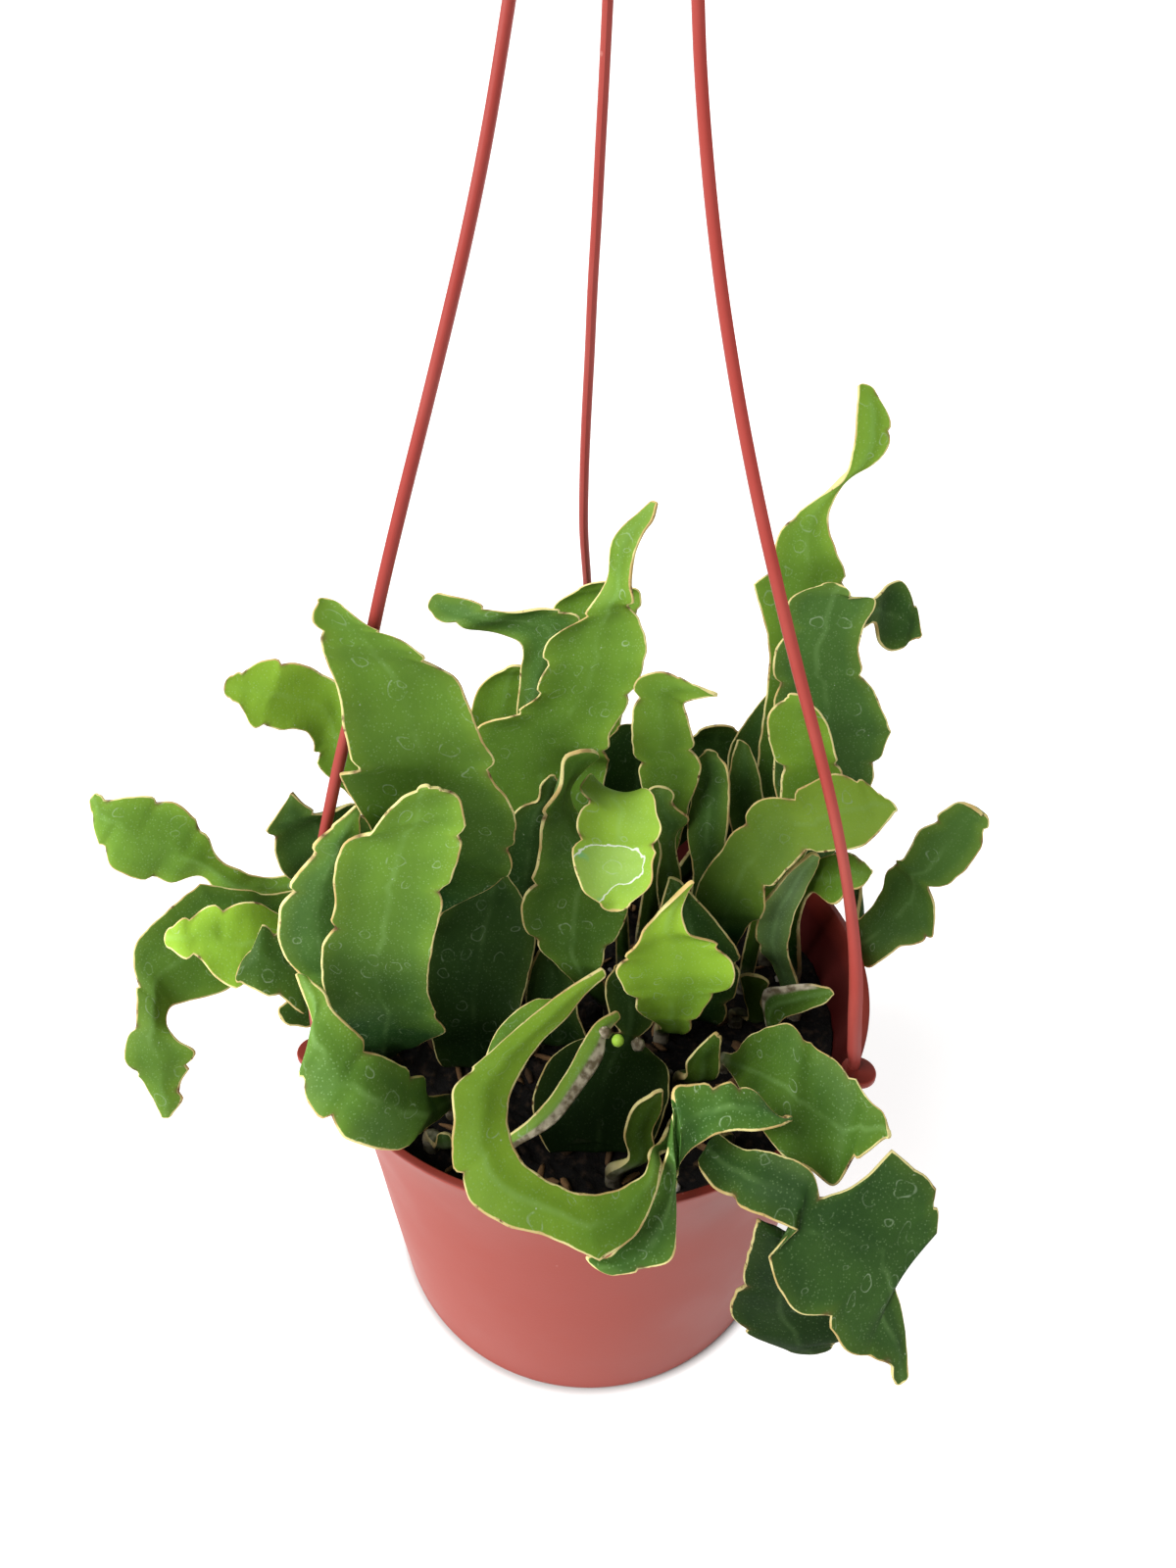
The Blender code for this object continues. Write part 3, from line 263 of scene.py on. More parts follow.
Blade = namedtuple(
    "Blade",
    "name finish skin root cup left right left_dips right_dips left_corners right_corners",
    defaults=((), (), (), ()),
)

# Stems: how young the skin is at its foot and tip, from 0 old and dark to 1 young and yellow, the darker foot
# partly painted shade low in the clump; and the shade factor the skin colour is multiplied by, partly the
# stem's own depth of colour and partly painted shade or light for how much light reaches it; the place of the
# root on the mix, the lift of the middle rib, and both edges from root to tip. A dip is a scallop in an edge,
# and a corner a sharp turn in it, each given by its place among the points.
BLADES = (
    Blade("tall_left", "mid", (-0.45, 0.8, 0.8), root=(-55, 8), cup=2, left=(
        (-51, -14, 139), (-48, -20, 158), (-47, -27, 175), (-47, -33, 187), (-50, -33, 195), (-51, -34, 200),
        (-48, -34, 202), (-49, -32, 210), (-49, -31, 216), (-51, -29, 222), (-52, -29, 226), (-53, -28, 228),
        (-53, -26, 231), (-52, -25, 233),
    ), right=(
        (-43, -14, 139), (-24, -16, 155), (-19, -20, 163), (-17, -22, 176), (-17, -25, 185), (-20, -27, 193),
        (-20, -27, 198), (-23, -28, 207), (-26, -26, 216), (-29, -27, 220), (-33, -28, 224), (-37, -27, 227),
        (-42, -27, 229), (-47, -25, 232),
    ), left_dips=(5.9, 11.2), right_dips=(2.6, 5.8, 9.5, 11.4), left_corners=(5,)),
    Blade("front_left_broad", "mid", (-0.45, 0.9, 1.0), root=(-55, -24), cup=2, left=(
        (-57, -43, 133), (-58, -47, 149), (-58, -46, 158), (-57, -44, 164), (-54, -42, 172), (-53, -41, 181),
        (-50, -39, 187), (-45, -40, 189), (-42, -39, 193), (-38, -38, 197), (-35, -37, 198),
    ), right=(
        (-41, -35, 121), (-34, -40, 131), (-37, -39, 140), (-36, -40, 152), (-33, -39, 165), (-28, -37, 180),
        (-26, -36, 186), (-26, -36, 192), (-27, -35, 196), (-29, -36, 198), (-32, -37, 199),
    ), left_dips=(3.4, 6.6), right_dips=(1.5, 4.5, 6.2, 9)),
    Blade("left_dark", "dark", (-0.1, 0.9, 1.4), root=(-58, -14), cup=0.5, left=(
        (-57, -43, 143), (-65, -42, 152), (-68, -41, 160), (-66, -39, 171), (-60, -37, 180), (-57, -36, 185),
        (-52, -32, 188), (-50, -30, 189),
    ), right=(
        (-49, -36, 140), (-52, -35, 147), (-53, -35, 155), (-53, -33, 166), (-51, -33, 176), (-49, -32, 183),
        (-49, -31, 186), (-49, -30, 187),
    ), left_dips=(3.2, 4.3, 5.4)),
    Blade("rim_fold_left", "mid", (0.1, 0.5, 1.15), root=(-35, -38), cup=2, left=(
        (-39, -47, 116), (-38, -52, 129), (-44, -57, 142), (-49, -56, 148), (-54, -53, 151), (-57, -49, 153),
        (-61, -46, 154),
    ), right=(
        (-38, -51, 110), (-42, -68, 125), (-51, -72, 135), (-59, -67, 140), (-61, -63, 144), (-59, -55, 148),
        (-64, -46, 155),
    ), left_dips=(1.4, 2.6), right_dips=(2.4, 3.6)),
    Blade("left_triangle", "mid", (0.1, 0.3, 0.8), root=(-61, 3), cup=1, left=(
        (-68, 6, 122), (-71, -14, 133), (-76, -17, 141), (-81, -18, 144), (-83, -23, 140),
    ), right=(
        (-69, -4, 119), (-69, -28, 123), (-74, -30, 128), (-81, -30, 133), (-85, -29, 135),
    ), left_dips=(2.5,), right_dips=(2.4,), left_corners=(3,), right_corners=(3,)),
    Blade("left_low", "mid", (0.2, 0.2, 0.7), root=None, cup=0.5, left=(
        (-68, -20, 132), (-73, -26, 129), (-76, -30, 128),
    ), right=(
        (-67, -25, 127), (-69, -31, 122), (-73, -33, 124),
    )),
    Blade("left_lime", "lime", (0.2, 0.85, 1.5), root=(-59, 18), cup=1, left=(
        (-67, 21, 121), (-80, -1, 131), (-86, -5, 139), (-91, -8, 142), (-98, -11, 143), (-102, -15, 143),
        (-104, -17, 142),
    ), right=(
        (-68, 13, 120), (-77, -17, 123), (-85, -22, 124), (-92, -23, 128), (-97, -22, 134), (-101, -22, 136),
        (-104, -21, 138),
    ), left_dips=(3.4, 4.6), right_dips=(2.4, 4.4)),
    Blade("left_dangling", "mid", (0.2, 0.7, 0.75), root=(-53, 29), cup=1, left=(
        (-63, 31, 122), (-87, 13, 127), (-94, 7, 133), (-105, 4, 138), (-112, -4, 135), (-118, -11, 131),
        (-118, -16, 127), (-116, -24, 120), (-118, -29, 114), (-118, -33, 109), (-115, -34, 105),
        (-112, -37, 101), (-110, -39, 97),
    ), right=(
        (-65, 25, 119), (-86, 8, 121), (-93, -1, 125), (-94, -10, 119), (-97, -14, 116), (-106, -18, 116),
        (-109, -21, 117), (-109, -25, 115), (-105, -29, 114), (-100, -31, 111), (-104, -34, 105),
        (-104, -37, 101), (-107, -39, 97),
    ), left_dips=(6.4, 7.6, 9.5), right_dips=(9.4, 10.7), left_corners=(3,)),
    Blade("left_far", "mid", (0.3, 0.8, 1.15), root=(-46, 38), cup=1, left=(
        (-53, 45, 121), (-87, 25, 124), (-96, 19, 128), (-99, 17, 132), (-104, 16, 137), (-106, 18, 145),
        (-113, 20, 153), (-120, 19, 156), (-128, 17, 157), (-132, 17, 158),
    ), right=(
        (-56, 39, 120), (-87, 21, 119), (-97, 15, 123), (-104, 12, 126), (-109, 13, 133), (-116, 10, 133),
        (-124, 8, 136), (-130, 8, 141), (-133, 11, 149), (-134, 15, 156),
    ), left_dips=(5.2, 6.6, 8.4), right_dips=(5.6, 7.5, 8.6), left_corners=(5, 9), right_corners=(9,)),
    Blade("left_high_lime", "lime", (0.0, 0.8, 1.1), root=(-42, 24), cup=1, left=(
        (-56, 24, 136), (-73, 19, 167), (-72, 17, 176), (-75, 15, 180), (-83, 11, 182), (-86, 12, 186),
        (-89, 13, 190),
    ), right=(
        (-50, 26, 138), (-59, 20, 172), (-63, 22, 187), (-69, 22, 193), (-76, 20, 198), (-84, 18, 197),
        (-88, 16, 195),
    ), left_dips=(1.3, 3.9, 5.5), right_dips=(4, 5.4), left_corners=(1,), right_corners=(4,)),
    Blade("left_shadow", "dark", (0.3, 0.8, 0.6), root=(-49, 19), cup=1, left=(
        (-60, 22, 124), (-73, 16, 129), (-81, 4, 140), (-83, 4, 150), (-84, 4, 156), (-81, 5, 160),
        (-77, 7, 165),
    ), right=(
        (-53, 19, 121), (-56, 18, 134), (-58, 14, 149), (-62, 13, 158), (-68, 8, 159), (-73, 7, 162),
        (-76, 7, 166),
    ), left_dips=(3.6,), right_dips=(2.6, 4.4), left_corners=(4,)),
    Blade("back_centre_tall", "mid", (0.5, 0.85, 0.88), root=(-10, 22), cup=1.5, left=(
        (-25, 20, 136), (-31, 20, 160), (-30, 22, 176), (-22, 20, 181), (-16, 19, 186), (-13, 19, 193),
        (-11, 21, 202), (-3, 22, 208), (2, 25, 214), (4, 27, 218), (4, 26, 224), (6, 27, 228), (10, 29, 231),
        (13, 29, 234),
    ), right=(
        (0, 19, 136), (4, 20, 163), (5, 16, 172), (5, 16, 179), (10, 17, 188), (13, 19, 198), (13, 21, 204),
        (10, 23, 210), (10, 20, 213), (9, 21, 218), (10, 23, 224), (12, 25, 228), (14, 26, 231),
        (15, 28, 234),
    ), left_dips=(3.3, 4.4, 5.4, 7), right_dips=(2.2, 4.2, 7.6)),
    Blade("back_left_curl", "dark", (0.4, 1.0, 0.8), root=(-15, 37), cup=1, left=(
        (-21, 40, 160), (-20, 41, 179), (-19, 41, 191), (-27, 42, 194), (-35, 41, 196), (-41, 43, 197),
        (-43, 44, 199),
    ), right=(
        (-12, 40, 160), (-11, 40, 179), (-3, 39, 199), (-11, 40, 202), (-22, 40, 201), (-32, 43, 203),
        (-40, 45, 204),
    ), left_dips=(4.4,), right_dips=(2.6, 4.5)),
    Blade("back_round", "mid", (0.5, 0.9, 0.8), root=(-28, 46), cup=1, left=(
        (-34, 47, 141), (-35, 44, 162), (-33, 44, 173), (-29, 44, 179), (-24, 44, 182),
    ), right=(
        (-19, 47, 141), (-17, 44, 162), (-16, 44, 173), (-17, 45, 179), (-19, 44, 182),
    )),
    Blade("back_top", "mid", (0.5, 0.9, 0.8), root=(1, 48), cup=1, left=(
        (-4, 42, 144), (-8, 43, 177), (-10, 45, 194), (-10, 47, 200), (-4, 48, 204),
    ), right=(
        (6, 42, 144), (10, 43, 177), (13, 45, 194), (13, 48, 203), (9, 47, 205),
    ), right_dips=(2.4,)),
    Blade("centre_curl", "mid", (0.2, 1.0, 0.68), root=(16, 22), cup=1, left=(
        (16, 14, 143), (15, 12, 158), (11, 13, 172), (10, 12, 182), (10, 14, 191), (11, 15, 195),
        (17, 14, 198), (22, 12, 197), (28, 9, 195),
    ), right=(
        (24, 14, 143), (26, 12, 160), (28, 10, 172), (25, 11, 182), (23, 12, 189), (23, 11, 191),
        (24, 10, 192), (26, 9, 193), (30, 9, 194),
    ), left_dips=(2, 4, 6.6, 7.3), right_dips=(2.5,)),
    Blade("front_centre", "mid", (0.2, 0.5, 0.88), root=(6, -5), cup=1, left=(
        (-6, -17, 126), (-13, -18, 136), (-17, -17, 145), (-16, -17, 154), (-13, -18, 162), (-12, -17, 171),
        (-11, -18, 178), (-8, -18, 185), (-6, -17, 192), (-3, -17, 194),
    ), right=(
        (3, -17, 126), (4, -17, 132), (9, -13, 142), (9, -12, 148), (8, -11, 156), (3, -8, 163),
        (-3, -6, 169), (-5, -5, 175), (-2, -4, 181), (1, -5, 185),
    ), left_dips=(1.4, 3.4, 6), right_dips=(1.3,)),
    Blade("pale_centre", "light", (0.1, 0.9, 0.85), root=(10, 10), cup=-5, left=(
        (6, 7, 135), (2, 1, 155), (1, -1, 168), (0, -3, 179), (-3, -11, 180), (-2, -15, 179), (-4, -21, 176),
        (-4, -27, 172), (-2, -32, 168), (2, -33, 165),
    ), right=(
        (10, 7, 135), (9, 1, 156), (9, -1, 168), (12, -5, 176), (14, -11, 180), (15, -17, 178),
        (16, -22, 176), (14, -28, 173), (13, -32, 169), (9, -33, 165),
    ), left_dips=(4.9, 6.3), right_dips=(6.5,)),
    Blade("small_dark", "dark", (0.4, 0.8, 0.6), root=(25, 20), cup=1, left=(
        (18, 7, 135), (18, 3, 151), (16, 3, 158), (15, 4, 164), (14, 4, 169),
    ), right=(
        (25, 7, 136), (22, 4, 154), (25, 3, 161), (22, 3, 165), (21, 4, 168),
    ), right_dips=(1.5, 3.5)),
    Blade("lime_star", "lime", (0.3, 1.0, 1.05), root=(20, -13), cup=2, left=(
        (18, -26, 117), (12, -31, 128), (7, -32, 139), (6, -32, 145), (10, -32, 151), (12, -31, 155),
        (15, -30, 159), (18, -30, 163), (21, -29, 166),
    ), right=(
        (25, -27, 116), (28, -31, 129), (34, -31, 137), (34, -30, 143), (30, -29, 149), (23, -30, 153),
        (21, -29, 159), (22, -28, 164), (23, -28, 167),
    ), left_dips=(1.5, 3.3), right_dips=(0.6, 1.6, 3.8)),
    Blade("star_shade", "dark", (0.2, 0.4, 0.6), root=(31, -3), cup=1, left=(
        (20, -13, 107), (16, -16, 119), (15, -16, 132), (17, -14, 145), (19, -12, 154),
    ), right=(
        (35, -17, 108), (38, -19, 123), (38, -18, 134), (32, -16, 143), (23, -13, 153),
    ), left_dips=(1.5,), right_dips=(0.7, 1.8)),
    Blade("front_curl", "lime", (0.05, 0.95, 0.55), root=(22, -44), cup=1.5, left=(
        (16, -61, 119), (13, -67, 124), (12, -75, 130), (10, -79, 132), (4, -82, 132), (-2, -83, 133),
        (-8, -81, 134), (-13, -78, 135), (-16, -74, 138), (-17, -68, 140), (-15, -63, 143), (-11, -57, 146),
        (-5, -52, 149), (-1, -48, 152), (3, -45, 154),
    ), right=(
        (18, -62, 117), (15, -68, 123), (15, -76, 131), (13, -83, 131), (9, -89, 128), (2, -93, 126),
        (-8, -90, 129), (-19, -87, 130), (-27, -80, 133), (-28, -71, 141), (-28, -65, 144), (-23, -61, 146),
        (-15, -54, 149), (-6, -48, 153), (2, -44, 156),
    ), right_dips=(8, 10.5), right_corners=(5,)),
    Blade("front_fold", "mid", (0.15, 0.2, 1.2), root=None, cup=1, left=(
        (44, -60, 127), (41, -61, 128), (36, -57, 132), (30, -57, 135), (24, -58, 135), (18, -60, 136),
        (18, -66, 131), (14, -76, 126), (9, -82, 119), (4, -87, 117), (0, -88, 119),
    ), right=(
        (44, -61, 126), (42, -63, 127), (36, -65, 128), (29, -66, 129), (23, -68, 127), (19, -72, 126),
        (18, -77, 124), (18, -83, 119), (17, -87, 116), (11, -89, 115), (5, -90, 115),
    ), left_dips=(2.6, 3.5), right_dips=(9,)),
    Blade("front_fold_stalk", "mid", (0.1, 0.15, 1.0), root=(30, -37), cup=0, left=(
        (27, -45, 114), (24, -55, 125), (23, -63, 132),
    ), right=(
        (30, -46, 114), (27, -56, 125), (25, -63, 132),
    )),
    Blade("front_lobe", "mid", (0.4, 0.6, 0.5), root=(6, -57), cup=1, left=(
        (9, -57, 106), (8, -55, 113), (10, -53, 120), (14, -52, 123),
    ), right=(
        (15, -57, 107), (15, -54, 113), (17, -52, 118), (17, -51, 123),
    )),
    Blade("right_broad", "mid", (0.5, 0.3, 0.75), root=(36, -24), cup=2, left=(
        (38, -27, 108), (42, -31, 121), (49, -35, 128), (54, -41, 126), (60, -46, 126), (63, -53, 125),
        (66, -58, 125), (66, -62, 125),
    ), right=(
        (37, -33, 106), (39, -52, 115), (43, -65, 119), (49, -67, 117), (54, -69, 114), (58, -67, 119),
        (64, -64, 123), (66, -63, 123),
    ), left_dips=(2.5, 4.2), right_dips=(5,)),
    Blade("right_overhang", "dark", (0.3, 0.4, 0.54), root=(34, -48), cup=1, left=(
        (30, -59, 118), (34, -65, 122), (40, -69, 126), (46, -73, 127), (50, -77, 124), (57, -76, 127),
        (63, -72, 132), (73, -76, 125), (73, -81, 117), (64, -86, 108), (67, -91, 98), (68, -97, 90),
    ), right=(
        (24, -68, 120), (29, -76, 120), (35, -80, 121), (43, -83, 120), (37, -86, 115), (39, -89, 110),
        (43, -92, 105), (49, -93, 103), (54, -96, 97), (59, -96, 95), (63, -97, 92), (65, -98, 88),
    ), left_dips=(3.9, 7.3), right_dips=(1.2, 7, 10.3), left_corners=(6, 7, 8, 9), right_corners=(3, 4)),
    Blade("overhang_branch", "dark", (0.3, 0.3, 0.25), root=None, cup=1, left=(
        (35, -80, 119), (34, -81, 104), (32, -83, 87), (37, -85, 81), (45, -87, 78),
    ), right=(
        (43, -82, 116), (48, -84, 104), (54, -84, 93), (58, -87, 85), (55, -87, 81),
    ), left_dips=(1.4, 2.6), right_dips=(3.5,)),
    Blade("back_right_tall", "mid", (-0.1, 1.1, 0.74), root=(40, 34), cup=1, left=(
        (45, 29, 136), (46, 30, 173), (46, 33, 194), (41, 38, 210), (45, 39, 216), (47, 41, 224),
        (52, 41, 229), (57, 41, 233), (60, 41, 236), (62, 43, 239), (63, 46, 245), (63, 48, 250),
        (63, 50, 255),
    ), right=(
        (56, 29, 136), (60, 30, 173), (62, 32, 196), (65, 35, 209), (63, 36, 215), (59, 38, 223),
        (58, 39, 228), (60, 41, 233), (62, 42, 236), (68, 43, 239), (72, 45, 244), (71, 47, 249),
        (68, 50, 254),
    ), left_dips=(3.6, 5.5), right_dips=(3.4, 10.4, 12), left_corners=(3,)),
    Blade("right_dark", "dark", (0.2, 0.7, 0.65), root=(53, 16), cup=1.5, left=(
        (54, 14, 138), (48, 15, 164), (47, 16, 175), (46, 19, 187), (45, 21, 198), (47, 23, 205),
        (48, 25, 212), (55, 26, 215),
    ), right=(
        (67, 14, 142), (73, 13, 165), (76, 16, 180), (72, 17, 188), (66, 20, 199), (66, 21, 206),
        (68, 22, 213), (62, 23, 213),
    ), left_dips=(3.4, 5), right_dips=(1.4, 3.6), right_corners=(2,)),
    Blade("right_dark_tip", "dark", (0.5, 0.5, 0.55), root=None, cup=1, left=(
        (63, 24, 209), (70, 29, 211), (74, 34, 212), (78, 36, 212), (81, 35, 209), (83, 33, 204),
        (84, 31, 200),
    ), right=(
        (66, 21, 206), (70, 26, 205), (72, 26, 200), (75, 27, 197), (79, 28, 197), (81, 30, 198),
        (83, 30, 199),
    ), left_dips=(4.3,)),
    Blade("right_small_lime", "lime", (0.2, 0.6, 0.7), root=(45, 4), cup=1, left=(
        (45, 7, 124), (49, 6, 148), (47, 4, 172), (44, 5, 181), (42, 5, 189), (43, 5, 194), (46, 5, 196),
    ), right=(
        (50, 6, 124), (58, 6, 152), (62, 3, 175), (59, 2, 182), (56, 3, 190), (53, 3, 194), (50, 4, 196),
    ), left_dips=(2.4, 5.5), right_dips=(2.5,)),
    Blade("right_light", "light", (-0.5, 1.0, 0.36), root=(37, 8), cup=2, left=(
        (29, -6, 131), (27, -7, 147), (33, -5, 159), (40, -2, 170), (48, -3, 174), (58, -3, 180),
        (65, -5, 179), (69, -9, 177),
    ), right=(
        (41, -7, 133), (43, -15, 145), (44, -15, 153), (50, -13, 161), (58, -14, 165), (64, -15, 167),
        (69, -13, 172), (71, -12, 175),
    ), left_dips=(2.6, 4, 5.6, 6.5), right_dips=(2, 3.4)),
    Blade("right_lime", "lime", (0.0, 0.5, 0.5), root=(60, 8), cup=1, left=(
        (54, 7, 128), (57, 2, 146), (61, -3, 155), (66, -6, 158), (68, -9, 157), (69, -10, 156),
    ), right=(
        (58, 4, 125), (58, -2, 141), (61, -12, 146), (64, -13, 151), (67, -13, 153), (69, -11, 155),
    ), left_dips=(3.4,), right_dips=(3,)),
    Blade("right_grey", "grey", (0.4, 0.5, 1.3), root=(58, -5), cup=1, left=(
        (50, -4, 117), (44, -7, 128), (44, -7, 140), (46, -8, 147), (49, -8, 153), (54, -7, 158),
    ), right=(
        (57, -6, 113), (53, -7, 125), (53, -7, 137), (55, -6, 145), (57, -5, 152), (57, -6, 156),
    ), left_dips=(1,)),
    Blade("right_far", "dark", (-0.3, 1.1, 0.54), root=(53, 27), cup=1, left=(
        (60, 36, 120), (73, 41, 122), (82, 31, 118), (80, 21, 111), (85, 21, 121), (86, 22, 128),
        (87, 22, 131), (86, 21, 134), (89, 20, 135), (92, 22, 143), (98, 24, 149), (102, 24, 152),
        (105, 22, 152),
    ), right=(
        (62, 31, 120), (72, 34, 122), (80, 27, 110), (81, 10, 102), (90, 9, 111), (97, 7, 115), (98, 11, 123),
        (97, 13, 129), (101, 13, 132), (105, 14, 137), (109, 17, 143), (110, 20, 149), (108, 21, 150),
    ), left_dips=(6.9, 9.6), right_dips=(5, 7, 10.4)),
    Blade("right_corky", "mid", (0.2, 0.3, 0.85), root=(51, -18), cup=0.5, left=(
        (46, -14, 116), (51, -15, 120), (57, -17, 123), (61, -18, 123),
    ), right=(
        (51, -18, 109), (57, -19, 115), (61, -20, 119), (63, -19, 121),
    )),
    Blade("right_small", "mid", (0.5, 0.7, 0.5), root=(41, -8), cup=0.5, left=(
        (44, -9, 101), (42, -10, 111), (40, -11, 119),
    ), right=(
        (50, -9, 100), (47, -11, 110), (48, -12, 118),
    )),
    Blade("front_small", "mid", (0.3, 0.5, 0.6), root=(24, -30), cup=1, left=(
        (24, -36, 110), (24, -37, 117), (28, -36, 123), (30, -36, 126),
    ), right=(
        (32, -37, 111), (32, -37, 120), (32, -37, 125), (31, -37, 126),
    )),
    Blade("left_back_dark", "dark", (0.2, 0.5, 0.45), root=(-28, -20), cup=1.5, left=(
        (-39, -26, 101), (-42, -22, 113), (-43, -18, 125), (-41, -12, 136), (-35, -8, 144), (-28, -4, 149),
    ), right=(
        (-22, -26, 100), (-19, -23, 114), (-16, -17, 124), (-14, -12, 134), (-16, -7, 140), (-21, -3, 147),
    )),
    Blade("front_dark", "dark", (0.2, 0.6, 0.26), root=(-6, -46), cup=1, left=(
        (-10, -52, 102), (-14, -45, 107), (-12, -37, 112), (-6, -31, 115), (3, -27, 115), (7, -26, 115),
        (5, -24, 118), (4, -21, 123), (4, -20, 127), (6, -18, 129),
    ), right=(
        (13, -52, 102), (19, -44, 108), (20, -38, 111), (19, -34, 112), (15, -30, 113), (13, -27, 113),
        (16, -25, 116), (17, -23, 121), (15, -20, 126), (11, -18, 129),
    ), left_dips=(4.9,), right_dips=(4.9,)),
    Blade("corky_stem", "light", (0.4, 0.6, 1.0), root=(-30, -48), cup=0, left=(
        (-22, -56, 112), (-16, -57, 118), (-10, -53, 122), (-5, -46, 125), (-1, -39, 128), (2, -35, 129),
        (6, -32, 129),
    ), right=(
        (-20, -58, 110), (-15, -59, 115), (-8, -57, 119), (-2, -51, 123), (3, -44, 126), (4, -38, 127),
        (7, -33, 127),
    )),
    Blade("centre_dark", "dark", (0.4, 0.8, 0.5), root=(28, 10), cup=1.5, left=(
        (28, 9, 135), (26, 13, 149), (27, 16, 161), (27, 18, 168), (29, 16, 173),
    ), right=(
        (35, 9, 139), (36, 8, 153), (36, 11, 165), (35, 12, 171), (33, 16, 172),
    )),
    Blade("right_back_a", "dark", (0.3, 0.7, 0.45), root=(33, 27), cup=1, left=(
        (40, 23, 134), (37, 22, 154), (38, 25, 165), (39, 26, 170),
    ), right=(
        (51, 23, 138), (47, 21, 156), (45, 22, 164), (43, 25, 168),
    )),
    Blade("right_back_b", "dark", (0.3, 0.7, 0.45), root=(27, 47), cup=1, left=(
        (38, 36, 142), (39, 36, 161), (45, 38, 173), (50, 40, 179),
    ), right=(
        (56, 35, 145), (54, 35, 165), (53, 38, 176), (52, 39, 179),
    )),
    Blade("right_back_c", "dark", (0.3, 0.6, 0.5), root=(14, 47), cup=1, left=(
        (25, 41, 142), (27, 41, 158), (30, 40, 164),
    ), right=(
        (45, 41, 146), (45, 40, 160), (41, 40, 165),
    )),
    Blade("centre_back_dark", "dark", (0.2, 0.5, 0.45), root=(-20, 8), cup=1, left=(
        (-24, 2, 125), (-25, 4, 139), (-23, 6, 151), (-19, 8, 161), (-14, 8, 163), (-13, 8, 168),
        (-11, 9, 170),
    ), right=(
        (-11, 2, 125), (-10, 4, 139), (-9, 6, 151), (-9, 8, 160), (-9, 9, 164), (-8, 9, 168), (-9, 9, 170),
    ), left_dips=(3.4,)),
    Blade("front_left_stub", "dark", (0.2, 0.3, 0.5), root=(-39, -48), cup=0.5, left=(
        (-38, -51, 102), (-37, -50, 104),
    ), right=(
        (-32, -52, 103), (-33, -51, 105),
    )),
    Blade("middle_dark", "dark", (0.2, 0.5, 0.5), root=(-14, -16), cup=1, left=(
        (-15, -20, 104), (-17, -17, 115), (-16, -14, 123), (-14, -12, 128), (-12, -10, 130),
    ), right=(
        (-1, -21, 104), (-3, -18, 113), (-4, -14, 120), (-7, -11, 124), (-9, -11, 130),
    )),
    Blade("centre_shadow", "dark", (0.2, 0.4, 0.4), root=(-1, 32), cup=1, left=(
        (4, 23, 131), (1, 26, 146), (0, 28, 156), (2, 30, 165), (7, 32, 170),
    ), right=(
        (22, 22, 131), (24, 25, 146), (26, 27, 157), (23, 28, 164), (17, 31, 169),
    )),
    Blade("front_curl_flap", "lime", (0.3, 0.6, 0.6), root=None, cup=0.3, left=(
        (-22, -59, 145), (-20, -54, 147), (-16, -50, 149), (-12, -48, 150), (-10, -48, 150),
    ), right=(
        (-20, -60, 145), (-17, -57, 147), (-12, -54, 148), (-8, -52, 150), (-6, -50, 150),
    )),
)

# Stems that grow out of another stem, and the stalk that carries the front fold
BRANCHES = {
    "left_triangle": "left_low",
    "right_overhang": "overhang_branch",
    "right_dark": "right_dark_tip",
    "front_fold": "front_fold_stalk",
    "front_curl": "front_curl_flap",
}

# Stretches of grey cork on a stem: from and to across it, from -1 at the left edge to 1 at the right, then
# from and to along it, as shares
CORK_BANDS = {
    "corky_stem": (0.05, 1.5, 0.1, 0.97),
    "right_corky": (-1.5, -0.45, 0.25, 0.95),
}

# Knobs on a stem: place and radii, how woody it is, and the shade factor its skin colour is multiplied by
KNOBS = {
    "corky_stem": (
        ((6.7, -39.2, 126.7), (1.5, 1.5, 1.6), 0.0, 1.3),
        ((3.5, -38.0, 128.0), (1.7, 1.5, 1.5), 1.0, 0.8),
    ),
    "front_dark": (((11.9, -35.4, 120.8), (1.7, 1.5, 1.9), 1.0, 0.55),),
}

# A dried film on a stem: its middle across and along, and its size
FILMS = {"pale_centre": (-2.5, 118.0, 7.6)}

# Greens of each kind of stem as old and young skin; the dark kind and dark old skin are partly painted shade
GREENS = {
    "mid": ("#264A1C", "#6E9630"),
    "dark": ("#1B3A1C", "#577F35"),
    "lime": ("#2F5F22", "#88AF30"),
    "light": ("#2F5E26", "#93B93E"),
    "grey": ("#345435", "#6A874B"),
}


# Surfaces on a grid


def curve_through(points, at, corners=(), rooted=0):
    """Cubic pieces through the points: at each point the curve leaves along half the step between its two
    neighbours, or along the step itself at a corner. One unit of `at` runs from one point to the next."""
    count = len(points)
    padded = np.vstack([2 * points[0] - points[1], points, 2 * points[-1] - points[-2]])
    leaving = (padded[2:] - padded[:-2]) / 2
    arriving = leaving.copy()
    for corner in corners:
        arriving[corner] = points[corner] - points[corner - 1]
        leaving[corner] = points[corner + 1] - points[corner] if corner + 1 < count else arriving[corner]
    if rooted:
        arriving[1] = leaving[0] = points[1] - points[0]
    row = np.clip(at.astype(int), 0, count - 2)
    u = (at - row)[:, None]
    start = (2 * u**3 - 3 * u**2 + 1) * points[row] + (u**3 - 2 * u**2 + u) * leaving[row]
    end = (3 * u**2 - 2 * u**3) * points[row + 1] + (u**3 - u**2) * arriving[row + 1]
    return start + end


def even_places(points, step):
    """Places along listed points such that each stretch is cut into equal parts no longer than the step."""
    lengths = np.linalg.norm(np.diff(points, axis=0), axis=1)
    counts = np.maximum(np.ceil(lengths / step).astype(int), 1)
    stretches = [row + np.arange(count) / count for row, count in enumerate(counts)]
    return np.concatenate([*stretches, [len(points) - 1.0]])


